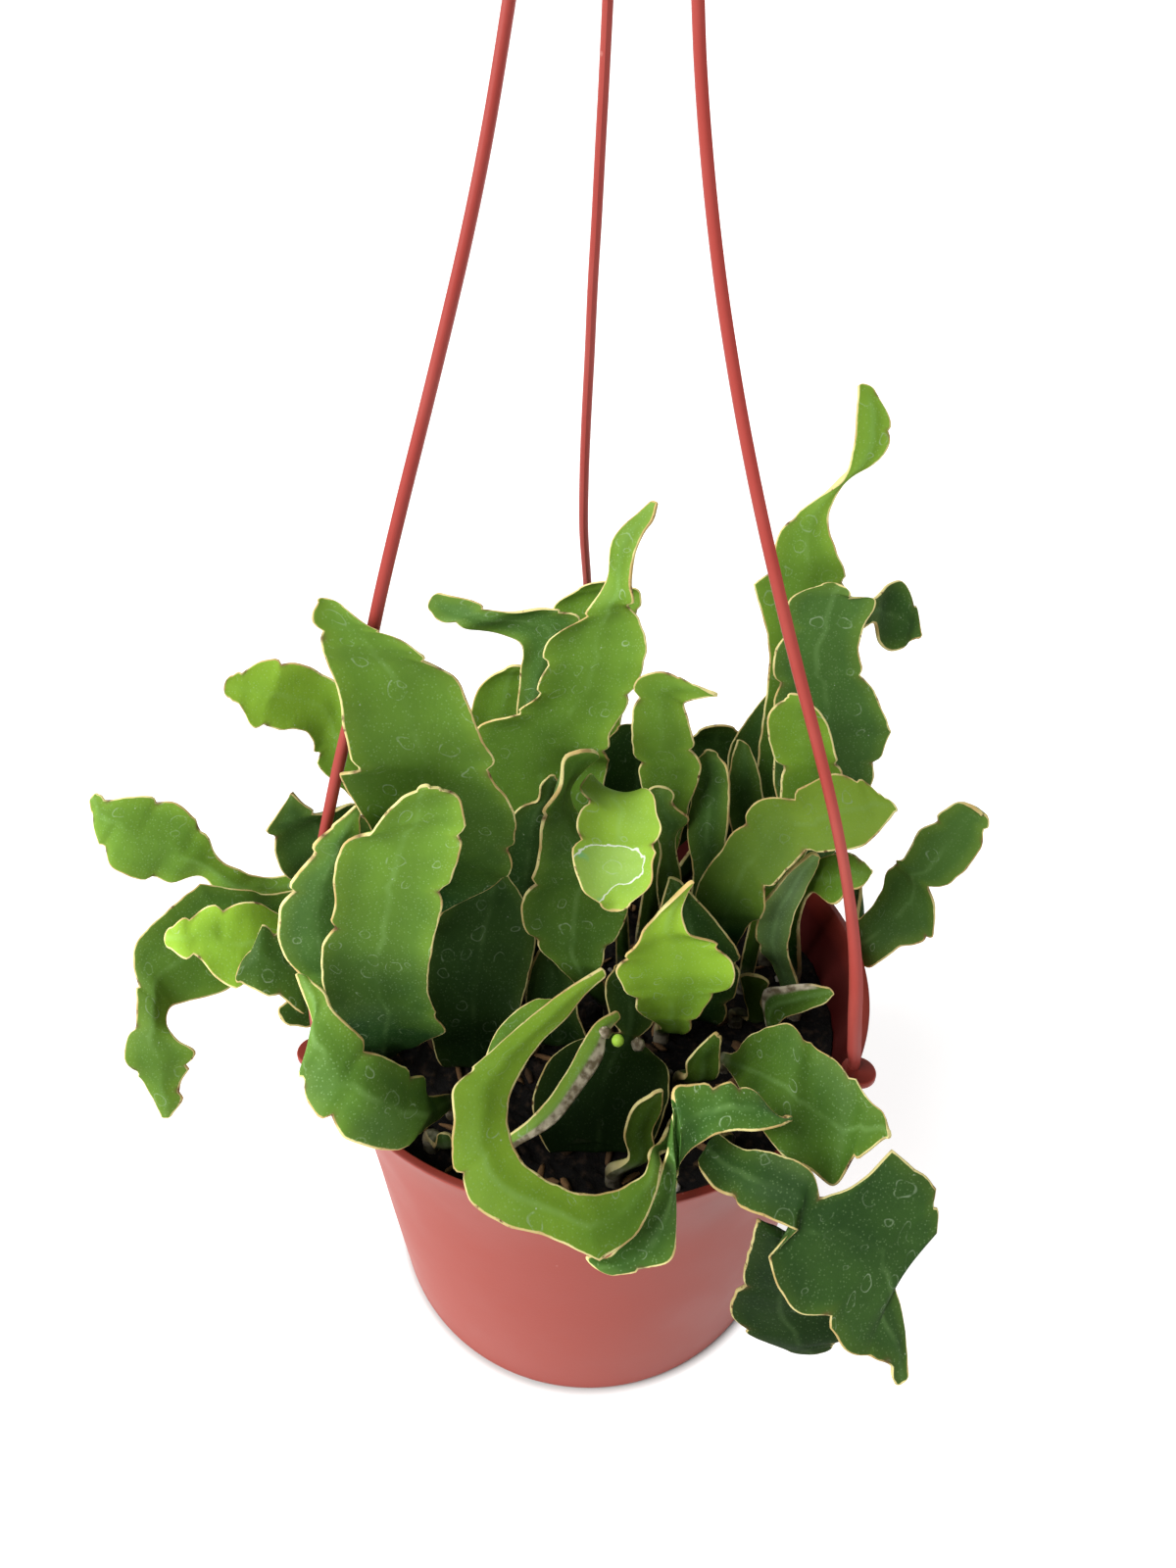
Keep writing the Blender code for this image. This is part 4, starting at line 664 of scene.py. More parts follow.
def run_along(line):
    """The length covered from the first point of a line to each of its points."""
    steps = np.linalg.norm(np.diff(line, axis=0), axis=1)
    return np.concatenate([[0.0], np.cumsum(steps)])


def ripple(run, length, draw):
    """A soft irregular wave between about -1 and 1: 1.8 times the mean of five sines, each of its own length
    and phase."""
    lengths = length * draw.uniform(*WAVE_SPREAD, 5)
    phases = draw.uniform(0, tau, 5)
    return 1.8 * np.sin(run[..., None] * tau / lengths + phases).mean(-1)


def lumps(x, y, size, draw):
    """A soft irregular field over a plane: twice the mean of nine plane waves, each of its own heading,
    length and phase."""
    heading = draw.uniform(0, tau, 9)
    waves = tau / (size * draw.uniform(*WAVE_SPREAD, 9))
    phases = draw.uniform(0, tau, 9)
    slant = x[..., None] * np.cos(heading) + y[..., None] * np.sin(heading)
    return 2 * np.sin(slant * waves + phases).mean(-1)


def unit(vectors):
    """The vectors at a length of one."""
    return vectors / np.maximum(np.linalg.norm(vectors, axis=-1, keepdims=True), 1e-9)


def ring_faces(rings, sides):
    """Quads between rings of points, each ring closed on itself."""
    ring, side = np.meshgrid(np.arange(rings - 1), np.arange(sides), indexing="ij")
    after, beside = ring + 1, (side + 1) % sides
    corners = (ring * sides + side, after * sides + side, after * sides + beside, ring * sides + beside)
    return np.stack(corners, -1).reshape(-1, 4)


def fan_faces(ring_start, sides, pole):
    """Triangles from a ring of points to one pole."""
    side = np.arange(sides)
    return np.stack([ring_start + side, ring_start + (side + 1) % sides, np.full(sides, pole)], -1)


def tube_faces(rings, sides):
    """Quads and triangles of rings stacked from a start pole to an end pole, the poles listed last."""
    pole = rings * sides
    tris = np.vstack([fan_faces(0, sides, pole), fan_faces(pole - sides, sides, pole + 1)[:, ::-1]])
    return ring_faces(rings, sides), tris


def outward(points, quads, tris):
    """Turns all faces over where the mesh they close has a negative volume."""
    cut = np.vstack([tris, quads[:, :3], quads[:, [0, 2, 3]]])
    a, b, c = (points[cut[:, i]] for i in range(3))
    if np.einsum("ij,ij->i", a, np.cross(b, c)).sum() < 0:
        return quads[:, ::-1], tris[:, ::-1]
    return quads, tris


def closed_tube(grid, start, end):
    """Points and outward faces of rings stacked from a start pole to an end pole."""
    points = np.vstack([grid.reshape(-1, 3), start, end])
    return points, *outward(points, *tube_faces(*grid.shape[:2]))


def joined(shapes):
    """Several shapes, each points, quads, tris and values, as one."""
    starts = np.cumsum([0] + [len(shape[0]) for shape in shapes])
    points = np.vstack([shape[0] for shape in shapes])
    quads, tris = (np.vstack([shape[k] + start for shape, start in zip(shapes, starts)]) for k in (1, 2))
    values = {key: np.concatenate([shape[3][key] for shape in shapes]) for key in shapes[0][3]}
    return points, quads, tris, values


def give_value(mesh, key, value):
    """Stores one value at each point of a mesh, for the materials."""
    mesh.attributes.new(key, "FLOAT", "POINT").data.foreach_set("value", value.astype(np.float32))


def new_object(name, points, quads, tris, values=None):
    """A smooth-shaded object whose mesh has these points in millimetres, with named values at its points.
    The values called across and along become the UV map, in metres."""
    values = dict(values or {})
    mesh = bpy.data.meshes.new(name)
    mesh.from_pydata((points * MM).tolist(), [], quads.tolist() + tris.tolist())
    if "across" in values:
        flat = np.stack([values.pop("across"), values.pop("along")], -1) * MM
        corner = np.concatenate([quads.ravel(), tris.ravel()])
        mesh.uv_layers.new(name="Skin").data.foreach_set("uv", flat[corner].ravel())
    for key, value in values.items():
        give_value(mesh, key, value)
    mesh.shade_smooth()
    made = bpy.data.objects.new(name, mesh)
    bpy.context.scene.collection.objects.link(made)
    return made


def finished(piece, nodes, material):
    """Gives a piece its material, hides the imported nodes that it stands for, and sets it on the body."""
    piece.data.materials.append(material)
    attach(piece, "root")
    if nodes:
        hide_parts(*nodes)


def worked(piece, steps):
    """Applies exact Boolean steps, each an operation and a helper object, and clears the helpers away. Faces
    that a step leaves without area are dissolved."""
    for operation, other in steps:
        step = piece.modifiers.new(operation.title(), "BOOLEAN")
        step.operation, step.solver, step.object = operation, "EXACT", other
    graph = bpy.context.evaluated_depsgraph_get()
    mesh = bpy.data.meshes.new_from_object(piece.evaluated_get(graph))
    shell = bmesh.new()
    shell.from_mesh(mesh)
    bmesh.ops.dissolve_degenerate(shell, dist=NO_LENGTH, edges=shell.edges)
    shell.to_mesh(mesh)
    shell.free()
    piece.modifiers.clear()
    piece.data = mesh
    for _, other in steps:
        bpy.data.objects.remove(other)


def turned(profile, sides):
    """A profile of radius and height carried once round the vertical, its two ends on the axis."""
    angle = np.arange(sides) * tau / sides
    radius, height = profile[1:-1, 0, None], profile[1:-1, 1, None]
    grid = np.stack([radius * np.cos(angle), radius * np.sin(angle), height + 0 * angle], -1)
    return closed_tube(grid, (0, 0, profile[0, 1]), (0, 0, profile[-1, 1]))


def tube(line, radius, side_on, sides, ridge):
    """A round section carried along a line. It is set square to the line, by the direction that lies side-on
    to it, and carries a low ridge along its front and back, where the halves of the mould met."""
    forward = unit(np.gradient(line, axis=0))
    beside = unit(side_on - forward * (forward @ np.array(side_on))[:, None])
    above = np.cross(forward, beside)
    angle = np.arange(sides) * tau / sides
    away = 1 + ridge * np.exp(-((np.cos(angle) / RIDGE_WIDTH) ** 2))
    ring = np.cos(angle)[:, None] * beside[:, None, :] + np.sin(angle)[:, None] * above[:, None, :]
    grid = line[:, None, :] + (radius[:, None] * away)[..., None] * ring
    return closed_tube(grid, line[0] - forward[0] * POLE_STEP, line[-1] + forward[-1] * POLE_STEP)


def around_axis(radius, azimuth):
    """The point at this radius and azimuth in degrees."""
    return radius * cos(radians(azimuth)), radius * sin(radians(azimuth))


def wall_line():
    """The pot's outer side as radius and height, a smooth curve through its listed points."""
    side = np.array(POT_SIDE)
    return curve_through(side, even_places(side, POT_STEP))


# Materials

MATH, MIX, NOISE, CELLS = "ShaderNodeMath", "ShaderNodeMix", "ShaderNodeTexNoise", "ShaderNodeTexVoronoi"
RANGE, VECTOR, VALUE = "ShaderNodeMapRange", "ShaderNodeVectorMath", "ShaderNodeAttribute"
PLACE, BUMP = "ShaderNodeTexCoord", "ShaderNodeBump"
SURFACE, OUTPUT = "ShaderNodeBsdfPrincipled", "ShaderNodeOutputMaterial"
WHITE = (1.0, 1.0, 1.0, 1.0)


def linear(code):
    """A red, green and blue hex colour as linear values, with full opacity."""
    value = np.array([int(code[i : i + 2], 16) for i in (1, 3, 5)]) / 255
    value = np.where(value <= 0.04045, value / 12.92, ((value + 0.055) / 1.055) ** 2.4)
    return (*value, 1.0)


def add(tree, kind, sockets=None, **settings):
    """Adds a node with its settings, and gives its inputs their values or links."""
    made = tree.nodes.new(kind)
    for key, value in settings.items():
        setattr(made, key, value)
    for key, value in (sockets or {}).items():
        if isinstance(value, bpy.types.NodeSocket):
            tree.links.new(value, made.inputs[key])
        else:
            made.inputs[key].default_value = value
    return made


def new_material(name, colour):
    """A material with an empty node tree, shown in the viewport in its colour."""
    material = bpy.data.materials.new(name)
    material.use_nodes = True
    material.diffuse_color = linear(colour)
    material.node_tree.nodes.clear()
    return material, material.node_tree


def eased(value, low, high, top=1.0, bottom=0.0):
    """What sets a range from bottom at low to top at high, slow at both ends."""
    sockets = {"Value": value, "From Min": low, "From Max": high, "To Min": bottom, "To Max": top}
    return {"sockets": sockets, "interpolation_type": "SMOOTHSTEP"}


def layered(share, under, over, **settings):
    """What sets a mix that lays one colour over another by a share."""
    return {"sockets": {0: share, 6: under, 7: over}, "data_type": "RGBA", **settings}


def per_mm(size):
    """The scale of a pattern on coordinates in metres, for features of this size in millimetres."""
    return 1000 / size


def water_rings(tree, solid, uv, cloud):
    """Rings of dried hard water, 1 to 4 mm wide, on some cells of a cell pattern with wavering edges: a ring
    lies where the distance from the middle of a cell is the size drawn for that cell."""
    waver = add(tree, NOISE, {"Vector": solid, "Scale": per_mm(4), "Detail": 1.0}).outputs["Color"]
    waver = add(tree, VECTOR, {0: waver, 1: (0.5, 0.5, 0.5)}, operation="SUBTRACT").outputs[0]
    waver = add(tree, VECTOR, {0: waver, "Scale": 0.0028}, operation="SCALE").outputs[0]
    bent = add(tree, VECTOR, {0: uv, 1: waver}, operation="ADD").outputs[0]
    cells = add(tree, CELLS, {"Vector": bent, "Scale": per_mm(6.5)}, voronoi_dimensions="2D")
    tint = add(tree, "ShaderNodeSeparateColor", {0: cells.outputs["Color"]})
    size = add(tree, MATH, {0: tint.outputs[0], 1: 0.22, 2: 0.08}, operation="MULTIPLY_ADD").outputs[0]
    gap = add(tree, MATH, {0: cells.outputs["Distance"], 1: size}, operation="SUBTRACT").outputs[0]
    gap = add(tree, MATH, {0: gap}, operation="ABSOLUTE").outputs[0]
    broken = add(tree, NOISE, {"Vector": solid, "Scale": per_mm(1.8)}).outputs[0]
    ring = add(tree, RANGE, **eased(gap, 0.006, 0.036, 0.0, 1.0)).outputs[0]
    for part in ((tint.outputs[1], 0.5, 0.6), (broken, 0.35, 0.6), (cloud, 0.35, 0.65, 0.55, 0.2)):
        share = add(tree, RANGE, **eased(*part)).outputs[0]
        ring = add(tree, MATH, {0: ring, 1: share}, operation="MULTIPLY").outputs[0]
    return ring


def lime_specks(tree, solid):
    """Specks of dust and lime, about 0.3 mm wide, on some cells of a cell pattern."""
    grit = add(tree, CELLS, {"Vector": solid, "Scale": per_mm(3.4)})
    pick = add(tree, "ShaderNodeSeparateColor", {0: grit.outputs["Color"]}).outputs[0]
    pick = add(tree, RANGE, **eased(pick, 0.6, 0.65)).outputs[0]
    speck = add(tree, RANGE, **eased(grit.outputs["Distance"], 0.03, 0.07, 0.0, 0.5)).outputs[0]
    return add(tree, MATH, {0: speck, 1: pick}, operation="MULTIPLY").outputs[0]


def dried_film(tree, film, grain, patch):
    """A dried film: a faint veil, a few blue-green stains within it and a thin white outline. Its edge wavers
    with the grain."""
    uneven = add(tree, MATH, {0: grain, 1: 2.4, 2: film}, operation="MULTIPLY_ADD").outputs[0]
    veil = add(tree, RANGE, **eased(uneven, 0.9, 1.3, 0.0, 0.1)).outputs[0]
    stain = add(tree, RANGE, **eased(patch, 0.56, 0.62, 5.0, 0.0)).outputs[0]
    stain = add(tree, MATH, {0: veil, 1: stain}, operation="MULTIPLY").outputs[0]
    brink = add(tree, MATH, {0: uneven, 1: 1.2}, operation="SUBTRACT").outputs[0]
    brink = add(tree, MATH, {0: brink}, operation="ABSOLUTE").outputs[0]
    brink = add(tree, RANGE, **eased(brink, 0.12, 0.3, 0.0, 0.8)).outputs[0]
    return veil, stain, brink


def corky_skin(tree, grain, patch, shade):
    """Dry cork of the margins, cream with tan and brown stretches, and old wood in grey and pale flakes. Both
    are darkened by the stem's shade factor, partly painted shade.
    """
    tan = add(tree, RANGE, **eased(patch, 0.42, 0.62)).outputs[0]
    cream = add(tree, MIX, **layered(tan, linear("#E4D794"), linear("#C4A96C"))).outputs[2]
    brown = add(tree, RANGE, **eased(grain, 0.6, 0.74)).outputs[0]
    brown = add(tree, MIX, **layered(brown, cream, linear("#6E5236"))).outputs[2]
    # Painted shade: the cork takes the stem's shade factor at 0.6 strength, the old wood in full
    brown = add(tree, MIX, **layered(0.6, brown, shade, blend_type="MULTIPLY")).outputs[2]
    flake = add(tree, RANGE, **eased(grain, 0.35, 0.65)).outputs[0]
    bark = add(tree, MIX, **layered(flake, linear("#7A6D55"), linear("#D6CBB0"))).outputs[2]
    bark = add(tree, MIX, **layered(1.0, bark, shade, blend_type="MULTIPLY")).outputs[2]
    return brown, bark


def waxy_skin(name, old, young):
    """Living cactus stem: smooth waxy skin over green flesh, with a dry corky margin. The wax gives it a soft
    broad gloss. The skin is yellower towards the tip and margin, paler along the rib, stippled with breathing
    pores, and marked by rings where drops of hard water dried."""
    material, tree = new_material(name, young)
    uv = add(tree, "ShaderNodeUVMap", uv_map="Skin").outputs[0]
    solid = add(tree, PLACE).outputs["Object"]
    margin, youth, knot, wood, shade, film = (
        add(tree, VALUE, attribute_name=key).outputs["Fac"]
        for key in ("margin", "youth", "knot", "wood", "shade", "film")
    )
    grain, patch, cloud = (
        add(tree, NOISE, {"Vector": solid, "Scale": per_mm(size), "Detail": detail}).outputs[0]
        for size, detail in ((2.2, 4.0), (9, 2.0), (14, 3.0))
    )

    # Broad clouding over the flesh, from old to young; the dark old skin low on a stem is partly painted
    # shade
    shift = add(tree, MATH, {0: cloud, 1: 0.5}, operation="SUBTRACT").outputs[0]
    age = add(tree, MATH, {0: shift, 1: 0.7, 2: youth}, operation="MULTIPLY_ADD", use_clamp=True).outputs[0]
    flesh = add(tree, MIX, **layered(age, linear(old), linear(young))).outputs[2]

    # Thinner flesh near the margin lets more light through, and looks yellower
    thin = add(tree, RANGE, **eased(margin, 0.3, 4.5, 0.0, 0.5)).outputs[0]
    thin = add(tree, MATH, {0: thin, 1: age}, operation="MULTIPLY").outputs[0]
    glow = add(tree, MIX, **layered(0.5, flesh, linear("#9DBE3A"))).outputs[2]
    flesh = add(tree, MIX, **layered(thin, flesh, glow)).outputs[2]

    # The rib: a pale soft line that comes and goes with the clouding
    split = add(tree, "ShaderNodeSeparateXYZ", {0: uv})
    off = add(tree, MATH, {0: split.outputs[0]}, operation="ABSOLUTE").outputs[0]
    faint = add(tree, RANGE, **eased(cloud, 0.42, 0.6, 0.16, 0.02)).outputs[0]
    rib = add(tree, RANGE, **eased(off, 0.0001, 0.0012, 0.0, 1.0)).outputs[0]
    rib = add(tree, MATH, {0: rib, 1: faint}, operation="MULTIPLY").outputs[0]

    # Breathing pores, pale dots about 0.7 mm apart
    pores = add(tree, CELLS, {"Vector": solid, "Scale": per_mm(0.75)}).outputs["Distance"]
    dots = add(tree, RANGE, **eased(pores, 0.1, 0.34, 0.0, 0.2)).outputs[0]

    ring = water_rings(tree, solid, uv, cloud)
    veil, stain, brink = dried_film(tree, film, grain, patch)
    for share, colour in (
        (rib, "#9CC77A"), (dots, "#A9CC8E"), (ring, "#A9C09A"), (lime_specks(tree, solid), "#C6D3BC"),
        (veil, "#B5CFA6"), (stain, "#63B58C"), (brink, "#E6EBE0"),
    ):
        flesh = add(tree, MIX, **layered(share, flesh, linear(colour))).outputs[2]

    # Whole stems are multiplied by their shade factor: partly their own depth of colour, partly painted shade
    flesh = add(tree, MIX, **layered(1.0, flesh, shade, blend_type="MULTIPLY")).outputs[2]

    # The corky margin's inner edge wavers by a few tenths
    reach = add(tree, MATH, {0: grain, 1: -0.6, 2: margin}, operation="MULTIPLY_ADD").outputs[0]
    cork = add(tree, RANGE, **eased(reach, 0.02, 0.24, 0.0, 1.0)).outputs[0]
    brown, bark = corky_skin(tree, grain, patch, shade)
    skin = flesh
    for share, over in ((cork, brown), (knot, linear("#5E442C")), (wood, bark)):
        skin = add(tree, MIX, **layered(share, skin, over)).outputs[2]

    # Cork and dried rings are duller than wax, and the gloss is scaled by the shade factor, so stems in
    # painted shade show less reflection
    dull = add(tree, MATH, {0: cork, 1: 0.2, 2: 0.58}, operation="MULTIPLY_ADD").outputs[0]
    dull = add(tree, MATH, {0: ring, 1: 0.25, 2: dull}, operation="MULTIPLY_ADD").outputs[0]
    gloss_by_shade = add(tree, MATH, {0: shade, 1: 0.18}, operation="MULTIPLY").outputs[0]
    fine = add(tree, MATH, {0: pores, 1: 0.3, 2: grain}, operation="MULTIPLY_ADD").outputs[0]
    bump = add(tree, BUMP, {"Strength": 0.25, "Distance": 0.0003, "Height": fine}).outputs[0]
    shader = add(tree, SURFACE, {
        "Base Color": skin, "Roughness": dull, "Normal": bump, "Specular IOR Level": gloss_by_shade, "IOR": 1.45,
        "Subsurface Weight": 0.06, "Subsurface Radius": (0.6, 1.0, 0.25), "Subsurface Scale": 0.002,
    })
    add(tree, OUTPUT, {0: shader.outputs[0]})
    return material


def moulded_plastic(name, colour, shade_colour, bloom):
    """Injection moulded polypropylene, coloured through: an even satin gloss with a faint flow clouding and a
    few specks of dust. Where its unshaded share falls it turns to a darker red, a painted shade."""
    material, tree = new_material(name, colour)
    solid = add(tree, PLACE).outputs["Object"]
    unshaded_share = add(tree, VALUE, attribute_name="unshaded_share").outputs["Fac"]
    # Painted shade: the colour turns to the darker red where the unshaded share falls
    body = add(tree, MIX, **layered(unshaded_share, linear(shade_colour), linear(colour))).outputs[2]
    flow = add(tree, NOISE, {"Vector": solid, "Scale": per_mm(28), "Detail": 3.0}).outputs[0]
    pale = add(tree, RANGE, **eased(flow, 0.35, 0.75, bloom, 0.0)).outputs[0]
    body = add(tree, MIX, **layered(pale, body, linear("#BE7A70"))).outputs[2]
    fleck = add(tree, CELLS, {"Vector": solid, "Scale": per_mm(13)}).outputs["Distance"]
    dust = add(tree, RANGE, **eased(fleck, 0.015, 0.04, 0.0, 0.3)).outputs[0]
    body = add(tree, MIX, **layered(dust, body, linear("#D39C92"))).outputs[2]
    grain = add(tree, NOISE, {"Vector": solid, "Scale": per_mm(0.8), "Detail": 2.0}).outputs[0]
    satin = add(tree, RANGE, **eased(flow, 0.3, 0.7, 0.46, 0.38)).outputs[0]
    bump = add(tree, BUMP, {"Strength": 0.08, "Distance": 0.0002, "Height": grain}).outputs[0]
    gloss = {"Roughness": satin, "Normal": bump, "IOR": 1.49, "Specular IOR Level": 0.14}
    shader = add(tree, SURFACE, {"Base Color": body, **gloss})
    add(tree, OUTPUT, {0: shader.outputs[0]})
    return material


def peat(name):
    """Moist peat and fine bark: near black crumbs with brown fibres, dark as wet peat is and darker still as
    painted shade deep in the pot.
    """
    material, tree = new_material(name, "#15100C")
    solid = add(tree, PLACE).outputs["Object"]
    crumbs = add(tree, NOISE, {"Vector": solid, "Scale": per_mm(2.5), "Detail": 6.0}).outputs[0]
    brown = add(tree, RANGE, **eased(crumbs, 0.5, 0.72)).outputs[0]
    # Painted shade: the crumbs are drawn near black for the shade deep in the pot
    tone = add(tree, MIX, **layered(brown, linear("#0B0908"), linear("#2A2018"))).outputs[2]
    bump = add(tree, BUMP, {"Strength": 0.9, "Distance": 0.0012, "Height": crumbs}).outputs[0]
    sockets = {"Base Color": tone, "Roughness": 0.9, "Normal": bump, "Specular IOR Level": 0.15}
    add(tree, OUTPUT, {0: add(tree, SURFACE, sockets).outputs[0]})
    return material


def chips(name, dark, pale, roughness):
    """Loose bits in the mix, such as bark or perlite: each rough, with its own tone."""
    material, tree = new_material(name, pale)
    solid = add(tree, PLACE).outputs["Object"]
    tone = add(tree, VALUE, attribute_name="tone").outputs["Fac"]
    grain = add(tree, NOISE, {"Vector": solid, "Scale": per_mm(1.2), "Detail": 4.0}).outputs[0]
    share = add(tree, MATH, {0: grain, 1: 0.5, 2: tone}, operation="MULTIPLY_ADD").outputs[0]
    body = add(tree, MIX, **layered(share, linear(dark), linear(pale))).outputs[2]
    bump = add(tree, BUMP, {"Strength": 0.7, "Distance": 0.0005, "Height": grain}).outputs[0]
    sockets = {"Base Color": body, "Roughness": roughness, "Normal": bump, "Specular IOR Level": 0.15}
    add(tree, OUTPUT, {0: add(tree, SURFACE, sockets).outputs[0]})
    return material


def matte_paper(name):
    """Uncoated white paper: matte, with a faint clouding. It gives off a soft light, as paper in a strong
    even light looks, but not under the pot and just round its foot, where the missing glow is a painted
    contact shadow."""
    material, tree = new_material(name, "#F7F6F4")
    solid = add(tree, PLACE).outputs["Object"]
    cloud = add(tree, NOISE, {"Vector": solid, "Scale": per_mm(60)}).outputs[0]
    tone = add(tree, MIX, **layered(cloud, linear("#B6B5B3"), linear("#BAB9B8"))).outputs[2]
    away = add(tree, VECTOR, {0: solid}, operation="LENGTH").outputs["Value"]
    # Painted contact shadow: the glow rises from nothing at the pot's foot to full a few millimetres out
    glow_past_painted_shadow = add(tree, RANGE, **eased(away, *PAINTED_CONTACT_SHADOW, PAPER_GLOW)).outputs[0]
    sockets = {"Base Color": tone, "Roughness": 0.8, "Emission Color": WHITE, "Emission Strength": glow_past_painted_shadow}
    add(tree, OUTPUT, {0: add(tree, SURFACE, sockets).outputs[0]})
    return material


# Stems


def edge_lines(blade):
    """Both edges of a stem, with two upright rows at the root put before the listed ones."""
    left = np.array(blade.left, float)
    right = np.array(blade.right, float)
    if blade.root is None:
        return left, right, 0
    across = (right[0] - left[0]) * (1, 1, 0)
    across *= ROOT_HALF_WIDTH / np.linalg.norm(across)
    rows = [np.array((*blade.root, SOIL_TOP + lift)) for lift in (-ROOT_DEPTH, ROOT_RISE)]
    left = np.vstack([[row - across for row in rows], left])
    right = np.vstack([[row + across for row in rows], right])
    return left, right, len(rows)


def notches(run, places):
    """One at the bottom of each notch in a margin, falling off slowly on the foot's side and fast on the
    tip's side, by a power of the distance."""
    if not len(places):
        return np.zeros_like(run)
    off = run[:, None] - places
    reach = np.where(off < 0, NOTCH_FOOT_SIDE, NOTCH_TIP_SIDE)
    return (np.clip(1 - np.abs(off) / reach, 0, 1) ** NOTCH_POWER).max(1)


def notched_edges(blade, draw):
    """Smooth edge curves of a stem, cut to even rows and moved inward by the notches and a fine waver. With
    them come how far each row is out of the thick foot, and for each edge how near it is to a notch."""
    left, right, rooted = edge_lines(blade)
    longer = left if run_along(left)[-1] > run_along(right)[-1] else right
    at = even_places(longer, ROW_STEP)
    left = curve_through(left, at, [corner + rooted for corner in blade.left_corners], rooted)
    right = curve_through(right, at, [corner + rooted for corner in blade.right_corners], rooted)
    width = np.linalg.norm(right - left, axis=1)[:, None]
    across = (right - left) / width
    grown = np.clip((at - 1) / FOOT_ROWS, 0, 1)[:, None] if rooted else np.ones((len(at), 1))
    depth = np.minimum(NOTCH_DEPTH, NOTCH_SHARE * width)
    edges, knots = [], []
    for edge, dips, sign in ((left, blade.left_dips, 1), (right, blade.right_dips, -1)):
        run = run_along(edge)
        places = np.interp([dip + rooted for dip in dips], at, run)
        inward = depth * notches(run, places)[:, None]
        waver = WAVER * ripple(run, WAVER_LENGTH, draw)[:, None]
        inward += waver * grown * np.clip(width / WAVER_WIDTH, 0, 1)
        edges.append(edge + sign * across * inward)
        off = run_along(edges[-1])[:, None] - places
        knots.append(np.exp(-((off / KNOT_REACH) ** 2)).sum(1))
    return *edges, grown, knots


def rounded_end(left, right):
    """Both edges with a rounded end: more rows whose width falls as a cosine while they move on as a sine,
    and the pole that closes them."""
    turn = np.radians(TIP_TURNS)[:, None]
    middle = (left[-1] + right[-1]) / 2
    ahead = unit(middle - (left[-3] + right[-3]) / 2)
    half = (right[-1] - left[-1]) / 2
    length = min(TIP_SHARE * np.linalg.norm(half) * 2, TIP_REACH)
    onward = middle + ahead * (length * np.sin(turn))
    left = np.vstack([left, onward - half * np.cos(turn)])
    right = np.vstack([right, onward + half * np.cos(turn)])
    return left, right, (left[-1] + right[-1]) / 2 + ahead * TIP_POLE


def facings(middle, across):
    """The direction that each row of a stem faces, square to its way and its width and smoothed along it. The
    rounded end keeps the last one before it."""
    end = len(TIP_TURNS)
    facing = unit(np.cross(np.gradient(middle, axis=0), across))
    facing[-end:] = facing[-end - 1]
    for _ in range(3):
        facing[1:-1] = unit(facing[:-2] + 2 * facing[1:-1] + facing[2:])
    return facing


def columns(width):
    """Distances from the left edge across each row: close steps at both margins, even ones between."""
    near = np.array(MARGIN_STEPS) * np.clip(width / MARGIN_WIDTH, 0.02, 1)
    inner = np.linspace(0, 1, INNER_COLUMNS + 2)[1:-1]
    inner = near[:, -1:] + inner * (width - 2 * near[:, -1:])
    return np.hstack([near, inner, width - near[:, ::-1]])


def half_thickness(x, width, margin, run, grown):
    """Half a stem's thickness: round at the margin, as a quarter circle, then even, with a bell-shaped swell
    at the rib. Both are thicker in the foot."""
    edge_half = (EDGE_THICK + (ROOT_EDGE_THICK - EDGE_THICK) * (1 - grown)) / 2
    rib_half = (RIB_THICK + (ROOT_RIB_THICK - RIB_THICK) * (1 - grown)) / 2
    inward = np.clip(margin / (edge_half * np.clip(width / MARGIN_WIDTH, 0.3, 1)), 0, 1)
    round_edge = edge_half * np.sqrt(1 - (1 - inward) ** 2)
    swell = (rib_half - edge_half) * np.exp(-(((x - width / 2) / (RIB_SHARE * width + RIB_REACH)) ** 2))
    swell *= np.clip((run[-1] - run) / RIB_END, 0, 1)
    return round_edge + swell * inward


def corkiness(blade, run, side, share):
    """How woody the skin is: all of it at a rooted foot, fading along the stem, and in a listed band."""
    wood = np.clip(1 - (run - CORKY_FOOT) / CORKY_FADE, 0, 1) if blade.root else np.zeros_like(run)
    wood = wood + 0 * side
    if blade.name in CORK_BANDS:
        low, high, begin, stop = CORK_BANDS[blade.name]
        across, along = BAND_FADE
        band = np.clip((side - low) / across, 0, 1) * np.clip((high - side) / across, 0, 1)
        band *= np.clip((share - begin) / along, 0, 1) * np.clip((stop - share) / along, 0, 1)
        wood = np.maximum(wood, band)
    return wood


def film_distance(blade, beside, run):
    """The distance from the outline of a dried film, a circle with two and three soft lobes, inside as less
    than nothing."""
    if blade.name not in FILMS:
        return np.full_like(beside, FAR)
    film_beside, film_along, reach = FILMS[blade.name]
    u, v = beside - film_beside, run - film_along
    heading = np.arctan2(v, u)
    return np.hypot(u, v) - reach * (1 + 0.22 * np.cos(2 * heading + 1.2) + 0.12 * np.cos(3 * heading))


def painted_crowd_shade(line):
    """Painted shade on the skin: most in the middle of the clump near the mix, fading outward and upward."""
    within = np.clip((CROWD_RADIUS - np.hypot(line[..., 0], line[..., 1])) / CROWD_FADE, 0, 1)
    return CROWD_SHADE * within * np.clip(1 - (line[..., 2] - SOIL_TOP - CROWD_FOOT) / CROWD_DEPTH, 0, 1)


